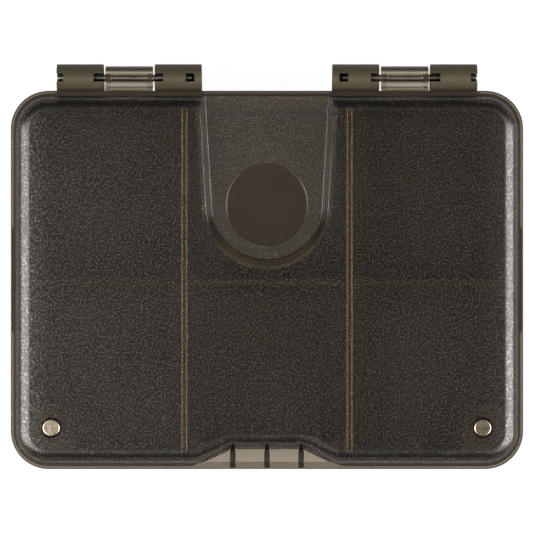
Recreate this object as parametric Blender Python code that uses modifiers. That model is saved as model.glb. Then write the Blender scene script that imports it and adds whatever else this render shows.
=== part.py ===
"""Pocket tackle box: a moulded tray with six wells and a smoked lid on two pinned hinges, shut by magnets.

Metres, +Z up. The origin is the middle of the tray's flat underside, the hinges are at the back, +Y.
"""

import math

import bmesh
import bpy
from mathutils import Matrix, Vector

MM = 0.001

# Body, measured over the lid's edge
BODY_WIDTH = 105.0 * MM
BODY_DEPTH = 77.5 * MM
BODY_HEIGHT = 25.0 * MM
CORNER_RADIUS = 7.8 * MM

# Clearances and cutting allowances
RUNNING_GAP = 0.3 * MM
OVERRUN = 1.0 * MM
ROOT = 1.2 * MM
LEAST_RADIUS = 0.3 * MM

# Lid: flange, domed top and wall
FLANGE_WIDTH = 1.1 * MM
FLANGE_THICKNESS = 1.4 * MM
FLANGE_EDGE = 0.3 * MM
DOME_RISE = 3.0 * MM
SHOULDER_RADIUS = 2.7 * MM
LID_WALL = 1.3 * MM

# Thumb notch, as it stands in an outline at the body's edge
NOTCH_HALF_WIDTH = 7.3 * MM
NOTCH_REACH = 3.2 * MM
NOTCH_SLOPE = math.radians(25.5)
NOTCH_FLOOR_RADIUS = 3.5 * MM
NOTCH_MOUTH_RADIUS = 3.0 * MM

# Grip ribs in the notch
RIB_COUNT = 3
RIB_PITCH = 7.0 * MM
RIB_WIDTH = 1.25 * MM
RIB_EDGE = 0.15 * MM
RIB_FRONT_RISE = 0.45 * MM
RIB_BACK_RISE = 2.3 * MM
RIB_LENGTH = 5.0 * MM
RIB_POINT_LENGTH = 1.8 * MM
RIB_POINT_SHARE = 0.3

# Sunk tongue in the lid's top, with the round seat at its end
TONGUE_DEPTH = 2.3 * MM
TONGUE_END_RADIUS = 11.35 * MM
TONGUE_BACK_HALF_WIDTH = 12.75 * MM
TONGUE_END_SETBACK = 23.3 * MM
TONGUE_WALL_SPREAD = 1.15 * MM
TONGUE_EDGE = 0.25 * MM
SEAT_RADIUS = 8.3 * MM
SEAT_DEPTH = 0.35 * MM

# Tray: outer wall, rim and centring lip
RIM_INSET = 0.5 * MM
RIM_EDGE = 0.3 * MM
WALL_DRAFT = 1.7 * MM
BOTTOM_RADIUS = 2.5 * MM
LIP_RISE = 0.8 * MM
LIP_WIDTH = 1.0 * MM

# Wells and dividers
FLOOR_THICKNESS = 1.6 * MM
WELL_DRAFT = 0.5 * MM
WELL_CORNER_RADIUS = 3.1 * MM
WELL_SCOOP = 2.0 * MM
DIVIDER_X = 16.9 * MM
DIVIDER_THICKNESS = 1.2 * MM
DIVIDER_LEDGE = 0.1 * MM
DIVIDER_EDGE = 0.2 * MM
DIVIDER_END_INSET = 3.5 * MM
CROSS_DIVIDER_OFFSET = -0.4 * MM
CROSS_DIVIDER_THICKNESS = 1.0 * MM

# Pads that stand out from the tray's wall to the lid's edge
SIDE_PAD_LENGTH = 21.5 * MM
PAD_HEIGHT = 4.0 * MM
HINGE_PAD_HEIGHT = 7.0 * MM
HINGE_PAD_MARGIN = 0.4 * MM

# Hinges
HINGE_END_INSET = 9.35 * MM
HINGE_BEHIND = 2.75 * MM
HINGE_DROP = 1.0 * MM
KNUCKLE_WIDTH = 9.75 * MM
KNUCKLE_RADIUS = 2.4 * MM
KNUCKLE_ARM_RISE = 1.3 * MM
KNUCKLE_EDGE = 0.25 * MM
LUG_WIDTH = 9.65 * MM
LUG_RADIUS = 2.8 * MM
LUG_TOP_RISE = 0.7 * MM
LUG_EDGE = 0.3 * MM
LUG_GUSSET_ANGLE = math.radians(45.0)
HINGE_SIDE_GAP = 0.35 * MM

# Hinge pins and their bores
PIN_RADIUS = 0.75 * MM
PIN_LENGTH = 27.8 * MM
PIN_EDGE = 0.2 * MM
BORE_CLEARANCE = 0.2 * MM
BORE_RUN_OUT = 0.3 * MM

# Mould windows of the hinge lugs and the knuckle pockets
WINDOW_WIDTH = 1.7 * MM
OUTER_END_WINDOW = 1.4 * MM
OUTER_KNUCKLE_WINDOW = 2.1 * MM
INNER_KNUCKLE_WINDOW = 1.8 * MM
PIN_END_WINDOW = 1.9 * MM
PIN_END_WALL = 1.4 * MM
WINDOW_BRIDGE = 0.6 * MM
WINDOW_OVERLAP = 0.25 * MM
POCKET_LENGTH = 7.4 * MM
POCKET_FRONT = 2.6 * MM
POCKET_STEP = 1.3 * MM
POCKET_BACK = 0.8 * MM
POCKET_STEP_DEPTH = 0.45 * MM

# Magnets, their bosses in the lid and their posts in the tray
MAGNET_SIDE_INSET = 8.4 * MM
MAGNET_FRONT_INSET = 8.55 * MM
MAGNET_RADIUS = 1.85 * MM
MAGNET_THICKNESS = 2.0 * MM
MAGNET_EDGE = 0.15 * MM
MAGNET_SIDE_GAP = 0.25 * MM
MAGNET_SINK = 0.15 * MM
BOSS_RADIUS = 3.2 * MM
BOSS_DROP = 2.3 * MM
POST_RADIUS = 4.3 * MM

# Facets: steps in a quarter turn, and sides of round pieces
CORNER_STEPS = 7
WELL_CORNER_STEPS = 5
LEAST_STEPS = 2
ARC_STEPS = 5
ROUND_SIDES = 32
PIN_SIDES = 20

# Levels and insets that follow from the sizes above
FLANGE_TOP = BODY_HEIGHT - DOME_RISE
FLANGE_UNDERSIDE = FLANGE_TOP - FLANGE_THICKNESS
LID_INSIDE_TOP = BODY_HEIGHT - LID_WALL
LID_INSIDE_INSET = FLANGE_WIDTH + LID_WALL
RIM_HEIGHT = FLANGE_UNDERSIDE - RUNNING_GAP
LIP_TOP = RIM_HEIGHT + LIP_RISE
LIP_INSET = LID_INSIDE_INSET + RUNNING_GAP
WELL_INSET = LIP_INSET + LIP_WIDTH
DIVIDER_TOP = LID_INSIDE_TOP - RUNNING_GAP
TONGUE_FLOOR = BODY_HEIGHT - TONGUE_DEPTH
TONGUE_CENTRE_Y = BODY_DEPTH / 2 - TONGUE_END_SETBACK
HINGE_Y = BODY_DEPTH / 2 + HINGE_BEHIND
HINGE_Z = RIM_HEIGHT - HINGE_DROP
HINGE_HALF_WIDTH = KNUCKLE_WIDTH / 2 + HINGE_SIDE_GAP + LUG_WIDTH
HINGE_X = BODY_WIDTH / 2 - HINGE_END_INSET - HINGE_HALF_WIDTH
TRAY_NOTCH_REACH = NOTCH_REACH + FLANGE_WIDTH - RIM_INSET
MAGNET_X = BODY_WIDTH / 2 - MAGNET_SIDE_INSET
MAGNET_Y = MAGNET_FRONT_INSET - BODY_DEPTH / 2
MAGNET_POCKET_DEPTH = MAGNET_THICKNESS + MAGNET_SINK + RUNNING_GAP


def clear_scene():
    """Remove whatever the scene holds."""
    for obj in list(bpy.data.objects):
        bpy.data.objects.remove(obj, do_unlink=True)


def new_collection(name):
    collection = bpy.data.collections.new(name)
    bpy.context.scene.collection.children.link(collection)
    return collection


def linear(level):
    """Linear value of one sRGB channel given from 0 to 255."""
    share = level / 255
    return share / 12.92 if share <= 0.04045 else ((share + 0.055) / 1.055) ** 2.4


def plastic_or_metal(name, screen_colour, roughness, metallic=0.0, transmission=0.0):
    """Principled material of one colour."""
    material = bpy.data.materials.new(name)
    material.use_nodes = True
    shader = material.node_tree.nodes["Principled BSDF"]
    shader.inputs["Base Color"].default_value = [linear(level) for level in screen_colour] + [1.0]
    shader.inputs["Roughness"].default_value = roughness
    shader.inputs["Metallic"].default_value = metallic
    shader.inputs["Transmission Weight"].default_value = transmission
    return material


def new_object(name, mesh, helper=False):
    """Object in the model's collection, or a hidden helper in the other one."""
    obj = bpy.data.objects.new(name, mesh)
    bpy.data.collections["helpers" if helper else "tackle_box"].objects.link(obj)
    if helper:
        obj.hide_render = True
        obj.display_type = "WIRE"
    return obj


def mesh_object(name, shape, helper=False):
    """Object from a bmesh, which this frees."""
    mesh = bpy.data.meshes.new(name)
    bmesh.ops.recalc_face_normals(shape, faces=shape.faces)
    shape.to_mesh(mesh)
    shape.free()
    return new_object(name, mesh, helper)


def loft(name, rings, helper=False):
    """Closed solid through rings of points, each ring with as many points as the next."""
    shape = bmesh.new()
    rows = [[shape.verts.new(point) for point in ring] for ring in rings]
    for lower, upper in zip(rows, rows[1:]):
        for index, vertex in enumerate(lower):
            shape.faces.new((lower[index - 1], vertex, upper[index], upper[index - 1]))
    shape.faces.new(rows[0])
    shape.faces.new(rows[-1])
    return mesh_object(name, shape, helper)


def block(name, low, high, edge=0.0, helper=False):
    """Box between two corners, with its edges rounded where edge is given."""
    shape = bmesh.new()
    bmesh.ops.create_cube(shape, size=1.0)
    size = Vector(high) - Vector(low)
    bmesh.ops.scale(shape, vec=size, verts=shape.verts)
    bmesh.ops.translate(shape, vec=Vector(low) + size / 2, verts=shape.verts)
    obj = mesh_object(name, shape, helper)
    if edge:
        round_edges(obj, edge)
    return obj


def cylinder(name, start, axis, radius, length, sides=ROUND_SIDES, helper=False):
    """Cylinder from its start face, along an axis given as X or Z."""
    shape = bmesh.new()
    bmesh.ops.create_cone(shape, cap_ends=True, segments=sides, radius1=radius, radius2=radius, depth=length)
    bmesh.ops.translate(shape, vec=(0, 0, length / 2), verts=shape.verts)
    if axis == "X":
        bmesh.ops.rotate(shape, matrix=Matrix.Rotation(math.pi / 2, 3, "Y"), verts=shape.verts)
    bmesh.ops.translate(shape, vec=start, verts=shape.verts)
    return mesh_object(name, shape, helper)


def round_edges(obj, width, segments=2):
    bevel = obj.modifiers.new("round_edges", "BEVEL")
    bevel.width = width
    bevel.segments = segments
    bevel.limit_method = "ANGLE"
    bevel.angle_limit = math.radians(40.0)


def combine(obj, other, operation):
    """Add a Boolean modifier. The helper stays in the scene as its operand, and moves with the piece."""
    other.parent = obj
    boolean = obj.modifiers.new(f"{operation.lower()}_{other.name}", "BOOLEAN")
    boolean.operation = operation
    boolean.object = other
    boolean.solver = "EXACT"


def join(obj, *others):
    for other in others:
        combine(obj, other, "UNION")


def cut(obj, *others):
    for other in others:
        combine(obj, other, "DIFFERENCE")


def finish(obj, material):
    obj.data.materials.append(material)
    obj.data.shade_smooth()
    obj.data.set_sharp_from_angle(angle=math.radians(30.0))


def rounded(corners, inset, steps=CORNER_STEPS):
    """Outline through corners (x, y, radius), anticlockwise, moved inwards by inset, an arc at each corner.

    An outward corner gives up the inset from its radius, and an inward corner gains it. steps is the number
    in a quarter turn.
    """
    points = []
    for index, (x, y, radius) in enumerate(corners):
        corner = Vector((x, y))
        arriving = (corner - Vector(corners[index - 1][:2])).normalized()
        leaving = (Vector(corners[(index + 1) % len(corners)][:2]) - corner).normalized()
        inwards = Vector((-arriving.y, arriving.x))
        inwards_next = Vector((-leaving.y, leaving.x))
        corner += (inwards + inwards_next) * inset / (1 + inwards.dot(inwards_next))
        turn = math.atan2(arriving.cross(leaving), arriving.dot(leaving))
        side = math.copysign(1, turn)
        arc_radius = max(radius - side * inset, LEAST_RADIUS)
        start = corner - arriving * arc_radius * math.tan(abs(turn) / 2)
        centre = start + inwards * side * arc_radius
        count = max(LEAST_STEPS, round(steps * abs(turn) / (math.pi / 2)))
        for step in range(count + 1):
            points.append(centre + Matrix.Rotation(turn * step / count, 2) @ (start - centre))
    return points


def at_level(outline, z):
    return [(x, y, z) for x, y in outline]


def body_outline(inset, z, notch_reach=0.0):
    """The body's outline at a level, with the thumb notch in its front where a reach is given."""
    side = BODY_WIDTH / 2
    back = BODY_DEPTH / 2
    corners = [
        (side, -back, CORNER_RADIUS),
        (side, back, CORNER_RADIUS),
        (-side, back, CORNER_RADIUS),
        (-side, -back, CORNER_RADIUS),
    ]
    if notch_reach:
        mouth = NOTCH_HALF_WIDTH + notch_reach / math.tan(NOTCH_SLOPE)
        floor = -back + notch_reach
        corners += [
            (-mouth, -back, NOTCH_MOUTH_RADIUS),
            (-NOTCH_HALF_WIDTH, floor, NOTCH_FLOOR_RADIUS),
            (NOTCH_HALF_WIDTH, floor, NOTCH_FLOOR_RADIUS),
            (mouth, -back, NOTCH_MOUTH_RADIUS),
        ]
    return at_level(rounded(corners, inset), z)


def shoulder(inset, top, radius):
    """(inset, z) of a quarter round that leads from an upright wall in to a flat top."""
    angles = [math.pi / 2 * step / ARC_STEPS for step in range(ARC_STEPS + 1)]
    return [(inset + radius * (1 - math.cos(a)), top - radius * (1 - math.sin(a))) for a in angles]


def foot(inset, bottom, radius):
    """(inset, z) of a quarter round that leads from a flat bottom out to an upright wall."""
    angles = [math.pi / 2 * step / ARC_STEPS for step in range(ARC_STEPS + 1)]
    return [(inset + radius * (1 - math.sin(a)), bottom + radius * (1 - math.cos(a))) for a in angles]


def tray_shell():
    """Drafted outer body with a rounded bottom edge and the finger recess under the lid's notch."""
    levels = foot(RIM_INSET + WALL_DRAFT, 0, BOTTOM_RADIUS)
    levels += [(RIM_INSET, RIM_HEIGHT - RIM_EDGE), (RIM_INSET + RIM_EDGE, RIM_HEIGHT)]
    return loft("base_tray", [body_outline(inset, z, TRAY_NOTCH_REACH) for inset, z in levels])


def lip_plug():
    """Raised middle of the tray. What the wells leave of it is the lip that centres the lid."""
    levels = [(LIP_INSET, RIM_HEIGHT - ROOT), (LIP_INSET, LIP_TOP)]
    rings = [body_outline(inset, z, NOTCH_REACH) for inset, z in levels]
    return loft("lip_plug", rings, helper=True)


def well(name, corners):
    """Cutter for one well: drafted walls that sweep into the floor."""
    levels = foot(WELL_DRAFT, FLOOR_THICKNESS, WELL_SCOOP) + [(0, LIP_TOP + OVERRUN)]
    rings = [at_level(rounded(corners, inset, WELL_CORNER_STEPS), z) for inset, z in levels]
    return loft(name, rings, helper=True)


def well_columns():
    """(name, low x, high x) of the three columns of wells."""
    outer = BODY_WIDTH / 2 - WELL_INSET
    near = DIVIDER_X - DIVIDER_THICKNESS / 2 - DIVIDER_LEDGE
    far = DIVIDER_X + DIVIDER_THICKNESS / 2 + DIVIDER_LEDGE
    return [("left", -outer, -far), ("middle", -near, near), ("right", far, outer)]


def back_wells():
    low = CROSS_DIVIDER_OFFSET + CROSS_DIVIDER_THICKNESS / 2
    high = BODY_DEPTH / 2 - WELL_INSET
    wells = []
    for column, left, right in well_columns():
        ends = [(right, low), (right, high), (left, high), (left, low)]
        corners = [(x, y, WELL_CORNER_RADIUS) for x, y in ends]
        wells.append(well(f"back_{column}_well", corners))
    return wells


def front_wells():
    """Front row: the middle well's front wall goes round the finger recess, the others round the posts."""
    high = CROSS_DIVIDER_OFFSET - CROSS_DIVIDER_THICKNESS / 2
    low = WELL_INSET - BODY_DEPTH / 2
    slant = NOTCH_REACH / math.tan(NOTCH_SLOPE)
    wells = []
    for column, left, right in well_columns():
        ends = [(right, low), (right, high), (left, high), (left, low)]
        if column == "middle":
            ends += [(left + slant, low + NOTCH_REACH), (right - slant, low + NOTCH_REACH)]
        cutter = well(f"front_{column}_well", [(x, y, WELL_CORNER_RADIUS) for x, y in ends])
        if column != "middle":
            cut(cutter, corner_post(column))
        wells.append(cutter)
    return wells


def corner_post(side):
    """Block that stays in a front corner to hold the tray's magnet, rounded about the magnet."""
    inner_x = MAGNET_X - POST_RADIUS
    inner_y = MAGNET_Y + POST_RADIUS
    outer_x = BODY_WIDTH / 2
    outer_y = -BODY_DEPTH / 2
    ends = [(inner_x, inner_y), (inner_x, outer_y), (outer_x, outer_y), (outer_x, inner_y)]
    corners = [(x, y, POST_RADIUS) for x, y in ends]
    if side == "left":
        corners = [(-x, y, radius) for x, y, radius in reversed(corners)]
    levels = [(-WELL_DRAFT, 0), (0, LIP_TOP + OVERRUN + OVERRUN)]
    rings = [at_level(rounded(corners, inset), z) for inset, z in levels]
    return loft(f"{side}_corner_post", rings, helper=True)


def divider_plate(name, x):
    """Upper part of a long divider, which reaches up to the lid's underside."""
    half = DIVIDER_THICKNESS / 2
    end = BODY_DEPTH / 2 - DIVIDER_END_INSET
    low = (x - half, -end, LIP_TOP - ROOT)
    return block(name, low, (x + half, end, DIVIDER_TOP), DIVIDER_EDGE, helper=True)


def wall_pad(name, centre, half_length, outwards, height):
    """Pad on the tray's wall, flush with the lid's edge, with a sloping underside.

    centre is its middle along the wall, and outwards is "X", "-X" or "Y".
    """
    face = BODY_DEPTH / 2 if outwards == "Y" else BODY_WIDTH / 2
    reach = RIM_INSET + WALL_DRAFT
    profile = [
        (face - reach, RIM_HEIGHT - height - reach),
        (face, RIM_HEIGHT - height),
        (face, RIM_HEIGHT - RIM_EDGE),
        (face - RIM_EDGE, RIM_HEIGHT),
        (face - reach, RIM_HEIGHT),
    ]
    rings = []
    for along in (centre - half_length, centre + half_length):
        if outwards == "Y":
            rings.append([(along, out, z) for out, z in profile])
        else:
            side = -1 if outwards == "-X" else 1
            rings.append([(side * out, along, z) for out, z in profile])
    return loft(name, rings, helper=True)


def arc_points(radius, first, last, steps):
    angles = [first + (last - first) * step / steps for step in range(steps + 1)]
    return [(radius * math.cos(a), radius * math.sin(a)) for a in angles]


def along_x(name, profile, low, high):
    """Helper with a (y, z) profile about the hinge axis, between two places along X."""
    rings = [[(x, HINGE_Y + y, HINGE_Z + z) for y, z in profile] for x in (low, high)]
    return loft(name, rings, helper=True)


def lug_profile():
    """Barrel with a level top that runs in to the pad and a gusset below."""
    root = -HINGE_BEHIND - ROOT
    crest_end = math.pi - math.asin(LUG_TOP_RISE / LUG_RADIUS)
    barrel = arc_points(LUG_RADIUS, -LUG_GUSSET_ANGLE, crest_end, ROUND_SIDES // 2)
    foot_y, foot_z = barrel[0]
    gusset = (root, foot_z - (foot_y - root) / math.tan(LUG_GUSSET_ANGLE))
    return [gusset] + barrel + [(root, LUG_TOP_RISE)]


def knuckle_profile():
    """Barrel with the arm that joins it to the lid's flange."""
    root = -HINGE_BEHIND - ROOT
    first = math.pi - math.asin(KNUCKLE_ARM_RISE / KNUCKLE_RADIUS)
    barrel = arc_points(KNUCKLE_RADIUS, first, math.pi * 5 / 2, ROUND_SIDES * 3 // 4)
    return [(root, KNUCKLE_ARM_RISE)] + barrel + [(root, KNUCKLE_RADIUS)]


def hinge_spans(side):
    """Places along X of a hinge's pieces: each a (low, high) pair, for side -1 or 1."""
    knuckle = KNUCKLE_WIDTH / 2
    near = knuckle + HINGE_SIDE_GAP
    far = near + LUG_WIDTH
    spans = {"knuckle": (-knuckle, knuckle), "inner_lug": (-far, -near), "outer_lug": (near, far)}
    return {key: mirrored(HINGE_X + low, HINGE_X + high, side) for key, (low, high) in spans.items()}


def mirrored(low, high, side):
    return (low, high) if side > 0 else (-high, -low)


def hinge_bore(name, side):
    """Bore from the hinge's outer end to just past the pin's inner end."""
    outer = HINGE_X + HINGE_HALF_WIDTH
    inner = outer - PIN_LENGTH - BORE_RUN_OUT
    low, high = mirrored(inner, outer + OVERRUN, side)
    start = (low, HINGE_Y, HINGE_Z)
    return cylinder(name, start, "X", PIN_RADIUS + BORE_CLEARANCE, high - low, PIN_SIDES, helper=True)


def window(name, low, high, side, upwards):
    """Slot between two places along X that opens the bore upwards or downwards."""
    low, high = mirrored(low, high, side)
    half = WINDOW_WIDTH / 2
    reach = LUG_RADIUS * 2 + OVERRUN
    bottom, top = (0, reach) if upwards else (-reach, 0)
    corner = (low, HINGE_Y - half, HINGE_Z + bottom)
    return block(name, corner, (high, HINGE_Y + half, HINGE_Z + top), helper=True)


def lug_windows(side):
    """Windows that let the mould form the bore: from above at the ends of the lugs, from below between."""
    near = KNUCKLE_WIDTH / 2 + HINGE_SIDE_GAP
    far = near + LUG_WIDTH
    above = [
        (HINGE_X + near - WINDOW_OVERLAP, HINGE_X + near + OUTER_KNUCKLE_WINDOW),
        (HINGE_X + far - OUTER_END_WINDOW, HINGE_X + far + OVERRUN),
        (HINGE_X - near - INNER_KNUCKLE_WINDOW, HINGE_X - near + WINDOW_OVERLAP),
        (HINGE_X - far + PIN_END_WALL, HINGE_X - far + PIN_END_WALL + PIN_END_WINDOW),
    ]
    below = [
        (above[0][1] + WINDOW_BRIDGE, above[1][0] - WINDOW_BRIDGE),
        (above[3][1] + WINDOW_BRIDGE, above[2][0] - WINDOW_BRIDGE),
    ]
    name = "left" if side < 0 else "right"
    tops = [window(f"{name}_top_window_{n}", a, b, side, True) for n, (a, b) in enumerate(above)]
    return tops + [window(f"{name}_low_window_{n}", a, b, side, False) for n, (a, b) in enumerate(below)]


def knuckle_pocket(name, side):
    """Pocket in a knuckle's top that shows the pin, with a shallow step towards the lid."""
    top = KNUCKLE_RADIUS + OVERRUN
    step = KNUCKLE_RADIUS - POCKET_STEP_DEPTH
    profile = [
        (-POCKET_FRONT, top),
        (-POCKET_FRONT, step),
        (-POCKET_STEP, step),
        (-POCKET_STEP, 0),
        (POCKET_BACK, 0),
        (POCKET_BACK, top),
    ]
    low, high = mirrored(HINGE_X - POCKET_LENGTH / 2, HINGE_X + POCKET_LENGTH / 2, side)
    return along_x(name, profile, low, high)


def magnet_pocket(name, x, surface):
    """Round pocket sunk from a surface."""
    start = (x, MAGNET_Y, surface - MAGNET_POCKET_DEPTH)
    radius = MAGNET_RADIUS + MAGNET_SIDE_GAP
    return cylinder(name, start, "Z", radius, MAGNET_POCKET_DEPTH + OVERRUN, helper=True)


def magnet(name, x, surface, material):
    start = (x, MAGNET_Y, surface - MAGNET_SINK - MAGNET_THICKNESS)
    obj = cylinder(name, start, "Z", MAGNET_RADIUS, MAGNET_THICKNESS)
    round_edges(obj, MAGNET_EDGE, 1)
    finish(obj, material)
    return obj


def hinge_pin(name, side, material):
    outer = HINGE_X + HINGE_HALF_WIDTH
    low, _ = mirrored(outer - PIN_LENGTH, outer, side)
    obj = cylinder(name, (low, HINGE_Y, HINGE_Z), "X", PIN_RADIUS, PIN_LENGTH, PIN_SIDES)
    round_edges(obj, PIN_EDGE, 1)
    finish(obj, material)
    return obj


def base_tray(material):
    tray = tray_shell()
    join(tray, lip_plug())
    for name, side in (("left", -1), ("right", 1)):
        outwards = "X" if side > 0 else "-X"
        join(tray, wall_pad(f"{name}_side_pad", 0, SIDE_PAD_LENGTH / 2, outwards, PAD_HEIGHT))
        pad_half = HINGE_HALF_WIDTH + HINGE_PAD_MARGIN
        join(tray, wall_pad(f"{name}_hinge_pad", side * HINGE_X, pad_half, "Y", HINGE_PAD_HEIGHT))
        spans = hinge_spans(side)
        for key in ("inner_lug", "outer_lug"):
            lug = along_x(f"{name}_{key}", lug_profile(), *spans[key])
            round_edges(lug, LUG_EDGE, 1)
            join(tray, lug)
    cut(tray, *back_wells(), *front_wells())
    for name, side in (("left", -1), ("right", 1)):
        join(tray, divider_plate(f"{name}_divider_plate", side * DIVIDER_X))
        cut(tray, hinge_bore(f"{name}_lug_bore", side), *lug_windows(side))
        cut(tray, magnet_pocket(f"{name}_tray_magnet_pocket", side * MAGNET_X, LIP_TOP))
    finish(tray, material)
    return tray


def flange_plate():
    """Flat rim of the lid, which also bridges the notch as the thumb's lip."""
    levels = [
        (FLANGE_EDGE, FLANGE_UNDERSIDE),
        (0, FLANGE_UNDERSIDE + FLANGE_EDGE),
        (0, FLANGE_TOP - FLANGE_EDGE),
        (FLANGE_EDGE, FLANGE_TOP),
    ]
    return loft("lid", [body_outline(inset, z) for inset, z in levels])


def dome():
    levels = [(FLANGE_WIDTH, FLANGE_TOP - FLANGE_THICKNESS / 2)]
    levels += shoulder(FLANGE_WIDTH, BODY_HEIGHT, SHOULDER_RADIUS)
    rings = [body_outline(inset, z, NOTCH_REACH) for inset, z in levels]
    return loft("dome", rings, helper=True)


def dome_inside():
    """Hollow of the lid, which leaves the tongue's underside and the magnet bosses standing in it."""
    levels = [(LID_INSIDE_INSET, FLANGE_UNDERSIDE - OVERRUN)]
    levels += shoulder(LID_INSIDE_INSET, LID_INSIDE_TOP, SHOULDER_RADIUS - LID_WALL)
    rings = [body_outline(inset, z, NOTCH_REACH) for inset, z in levels]
    hollow = loft("dome_inside", rings, helper=True)
    cut(hollow, tongue_underside())
    for name, x in (("left", -MAGNET_X), ("right", MAGNET_X)):
        start = (x, MAGNET_Y, LID_INSIDE_TOP - BOSS_DROP)
        boss = cylinder(f"{name}_boss", start, "Z", BOSS_RADIUS, BOSS_DROP + OVERRUN, helper=True)
        cut(hollow, boss)
    return hollow


def tongue_spread(z):
    """How far the tongue's sloping wall stands outside the floor's edge at a level."""
    return (z - TONGUE_FLOOR) * TONGUE_WALL_SPREAD / TONGUE_DEPTH


def tongue_ring(z, grow):
    """The floor's outline grown outwards, at a level: a round end, and sides that spread to the back edge."""
    radius = TONGUE_END_RADIUS + grow
    half = TONGUE_BACK_HALF_WIDTH + grow
    tangent = math.atan2(TONGUE_END_SETBACK, half) - math.acos(radius / math.hypot(TONGUE_END_SETBACK, half))
    back = BODY_DEPTH / 2 + OVERRUN
    spread = math.tan(-tangent)
    outline = [(half + OVERRUN * spread, back), (-half - OVERRUN * spread, back)]
    end = arc_points(radius, -math.pi - tangent, tangent, CORNER_STEPS * 4)
    outline += [(x, TONGUE_CENTRE_Y + y) for x, y in end]
    return at_level(outline, z)


def tongue_recess():
    """Cutter for the sunk tongue, with softened edges at its floor and at the lid's top."""
    levels = [(TONGUE_FLOOR, -TONGUE_EDGE)]
    levels += [(z, tongue_spread(z)) for z in (TONGUE_FLOOR + TONGUE_EDGE, BODY_HEIGHT - TONGUE_EDGE)]
    levels += [(z, TONGUE_WALL_SPREAD + TONGUE_EDGE) for z in (BODY_HEIGHT, BODY_HEIGHT + OVERRUN)]
    return loft("tongue_recess", [tongue_ring(z, grow) for z, grow in levels], helper=True)


def tongue_underside():
    """The tongue's moulding as it stands in the lid's hollow, one wall thickness outside the recess."""
    wall = LID_WALL * math.hypot(1, TONGUE_WALL_SPREAD / TONGUE_DEPTH)
    levels = (TONGUE_FLOOR - LID_WALL, LID_INSIDE_TOP + OVERRUN)
    return loft("tongue_underside", [tongue_ring(z, tongue_spread(z) + wall) for z in levels], helper=True)


def round_seat():
    start = (0, TONGUE_CENTRE_Y, TONGUE_FLOOR - SEAT_DEPTH)
    return cylinder("round_seat", start, "Z", SEAT_RADIUS, SEAT_DEPTH + OVERRUN, ROUND_SIDES, helper=True)


def grip_rib(name, x):
    """Flat-topped rib that climbs from the thumb's lip to a point on the notch's wall."""
    base = FLANGE_TOP - FLANGE_THICKNESS / 2
    rings = []
    for along, share in ((0, 1), (RIB_LENGTH - RIB_POINT_LENGTH, 1), (RIB_LENGTH, RIB_POINT_SHARE)):
        y = FLANGE_EDGE + along - BODY_DEPTH / 2
        crest = FLANGE_TOP + RIB_FRONT_RISE + (RIB_BACK_RISE - RIB_FRONT_RISE) * along / RIB_LENGTH
        outer = RIB_WIDTH / 2 * share
        inner = outer - RIB_EDGE * share
        side = [(outer, base), (outer, crest - RIB_EDGE), (inner, crest)]
        profile = side + [(-across, z) for across, z in reversed(side)]
        rings.append([(x + across, y, z) for across, z in profile])
    return loft(name, rings, helper=True)


def lid(material):
    shell = flange_plate()
    join(shell, dome())
    cut(shell, dome_inside(), tongue_recess(), round_seat())
    for index in range(RIB_COUNT):
        join(shell, grip_rib(f"grip_rib_{index}", (index - (RIB_COUNT - 1) / 2) * RIB_PITCH))
    for name, side in (("left", -1), ("right", 1)):
        knuckle = along_x(f"{name}_knuckle", knuckle_profile(), *hinge_spans(side)["knuckle"])
        round_edges(knuckle, KNUCKLE_EDGE, 1)
        join(shell, knuckle)
        cut(shell, hinge_bore(f"{name}_knuckle_bore", side), knuckle_pocket(f"{name}_knuckle_pocket", side))
        cut(shell, magnet_pocket(f"{name}_lid_magnet_pocket", side * MAGNET_X, BODY_HEIGHT))
    finish(shell, material)
    return shell


def hang_on_hinge(pieces):
    """Parent the lid and its magnets to an empty on the hinge axis."""
    pivot = bpy.data.objects.new("lid_hinge", None)
    pivot.location = (0, HINGE_Y, HINGE_Z)
    bpy.data.collections["tackle_box"].objects.link(pivot)
    bpy.context.view_layer.update()
    for piece in pieces:
        piece.parent = pivot
        piece.matrix_parent_inverse = pivot.matrix_world.inverted()


def main():
    clear_scene()
    new_collection("tackle_box")
    new_collection("helpers")
    olive = plastic_or_metal("olive_moulding", (84, 78, 62), 0.55)
    smoked = plastic_or_metal("smoked_moulding", (64, 58, 50), 0.3, transmission=0.8)
    steel = plastic_or_metal("pin_steel", (196, 192, 184), 0.25, metallic=1.0)
    nickel = plastic_or_metal("magnet_nickel", (188, 176, 158), 0.3, metallic=1.0)
    base_tray(olive)
    moving = [lid(smoked)]
    for name, side in (("left", -1), ("right", 1)):
        hinge_pin(f"hinge_pin_{name}", side, steel)
        magnet(f"base_magnet_{name}", side * MAGNET_X, LIP_TOP, nickel)
        moving.append(magnet(f"lid_magnet_{name}", side * MAGNET_X, BODY_HEIGHT, nickel))
    hang_on_hinge(moving)


main()
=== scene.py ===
"""Looks of the pocket tackle box: a smoked lid over an olive tray, on two pinned hinges.

Metres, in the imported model's own frame: +Z up, the hinges at the back, +Y. The camera looks straight down.
"""

import math

import bmesh
import bpy
from mathutils import Matrix, Vector


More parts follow.
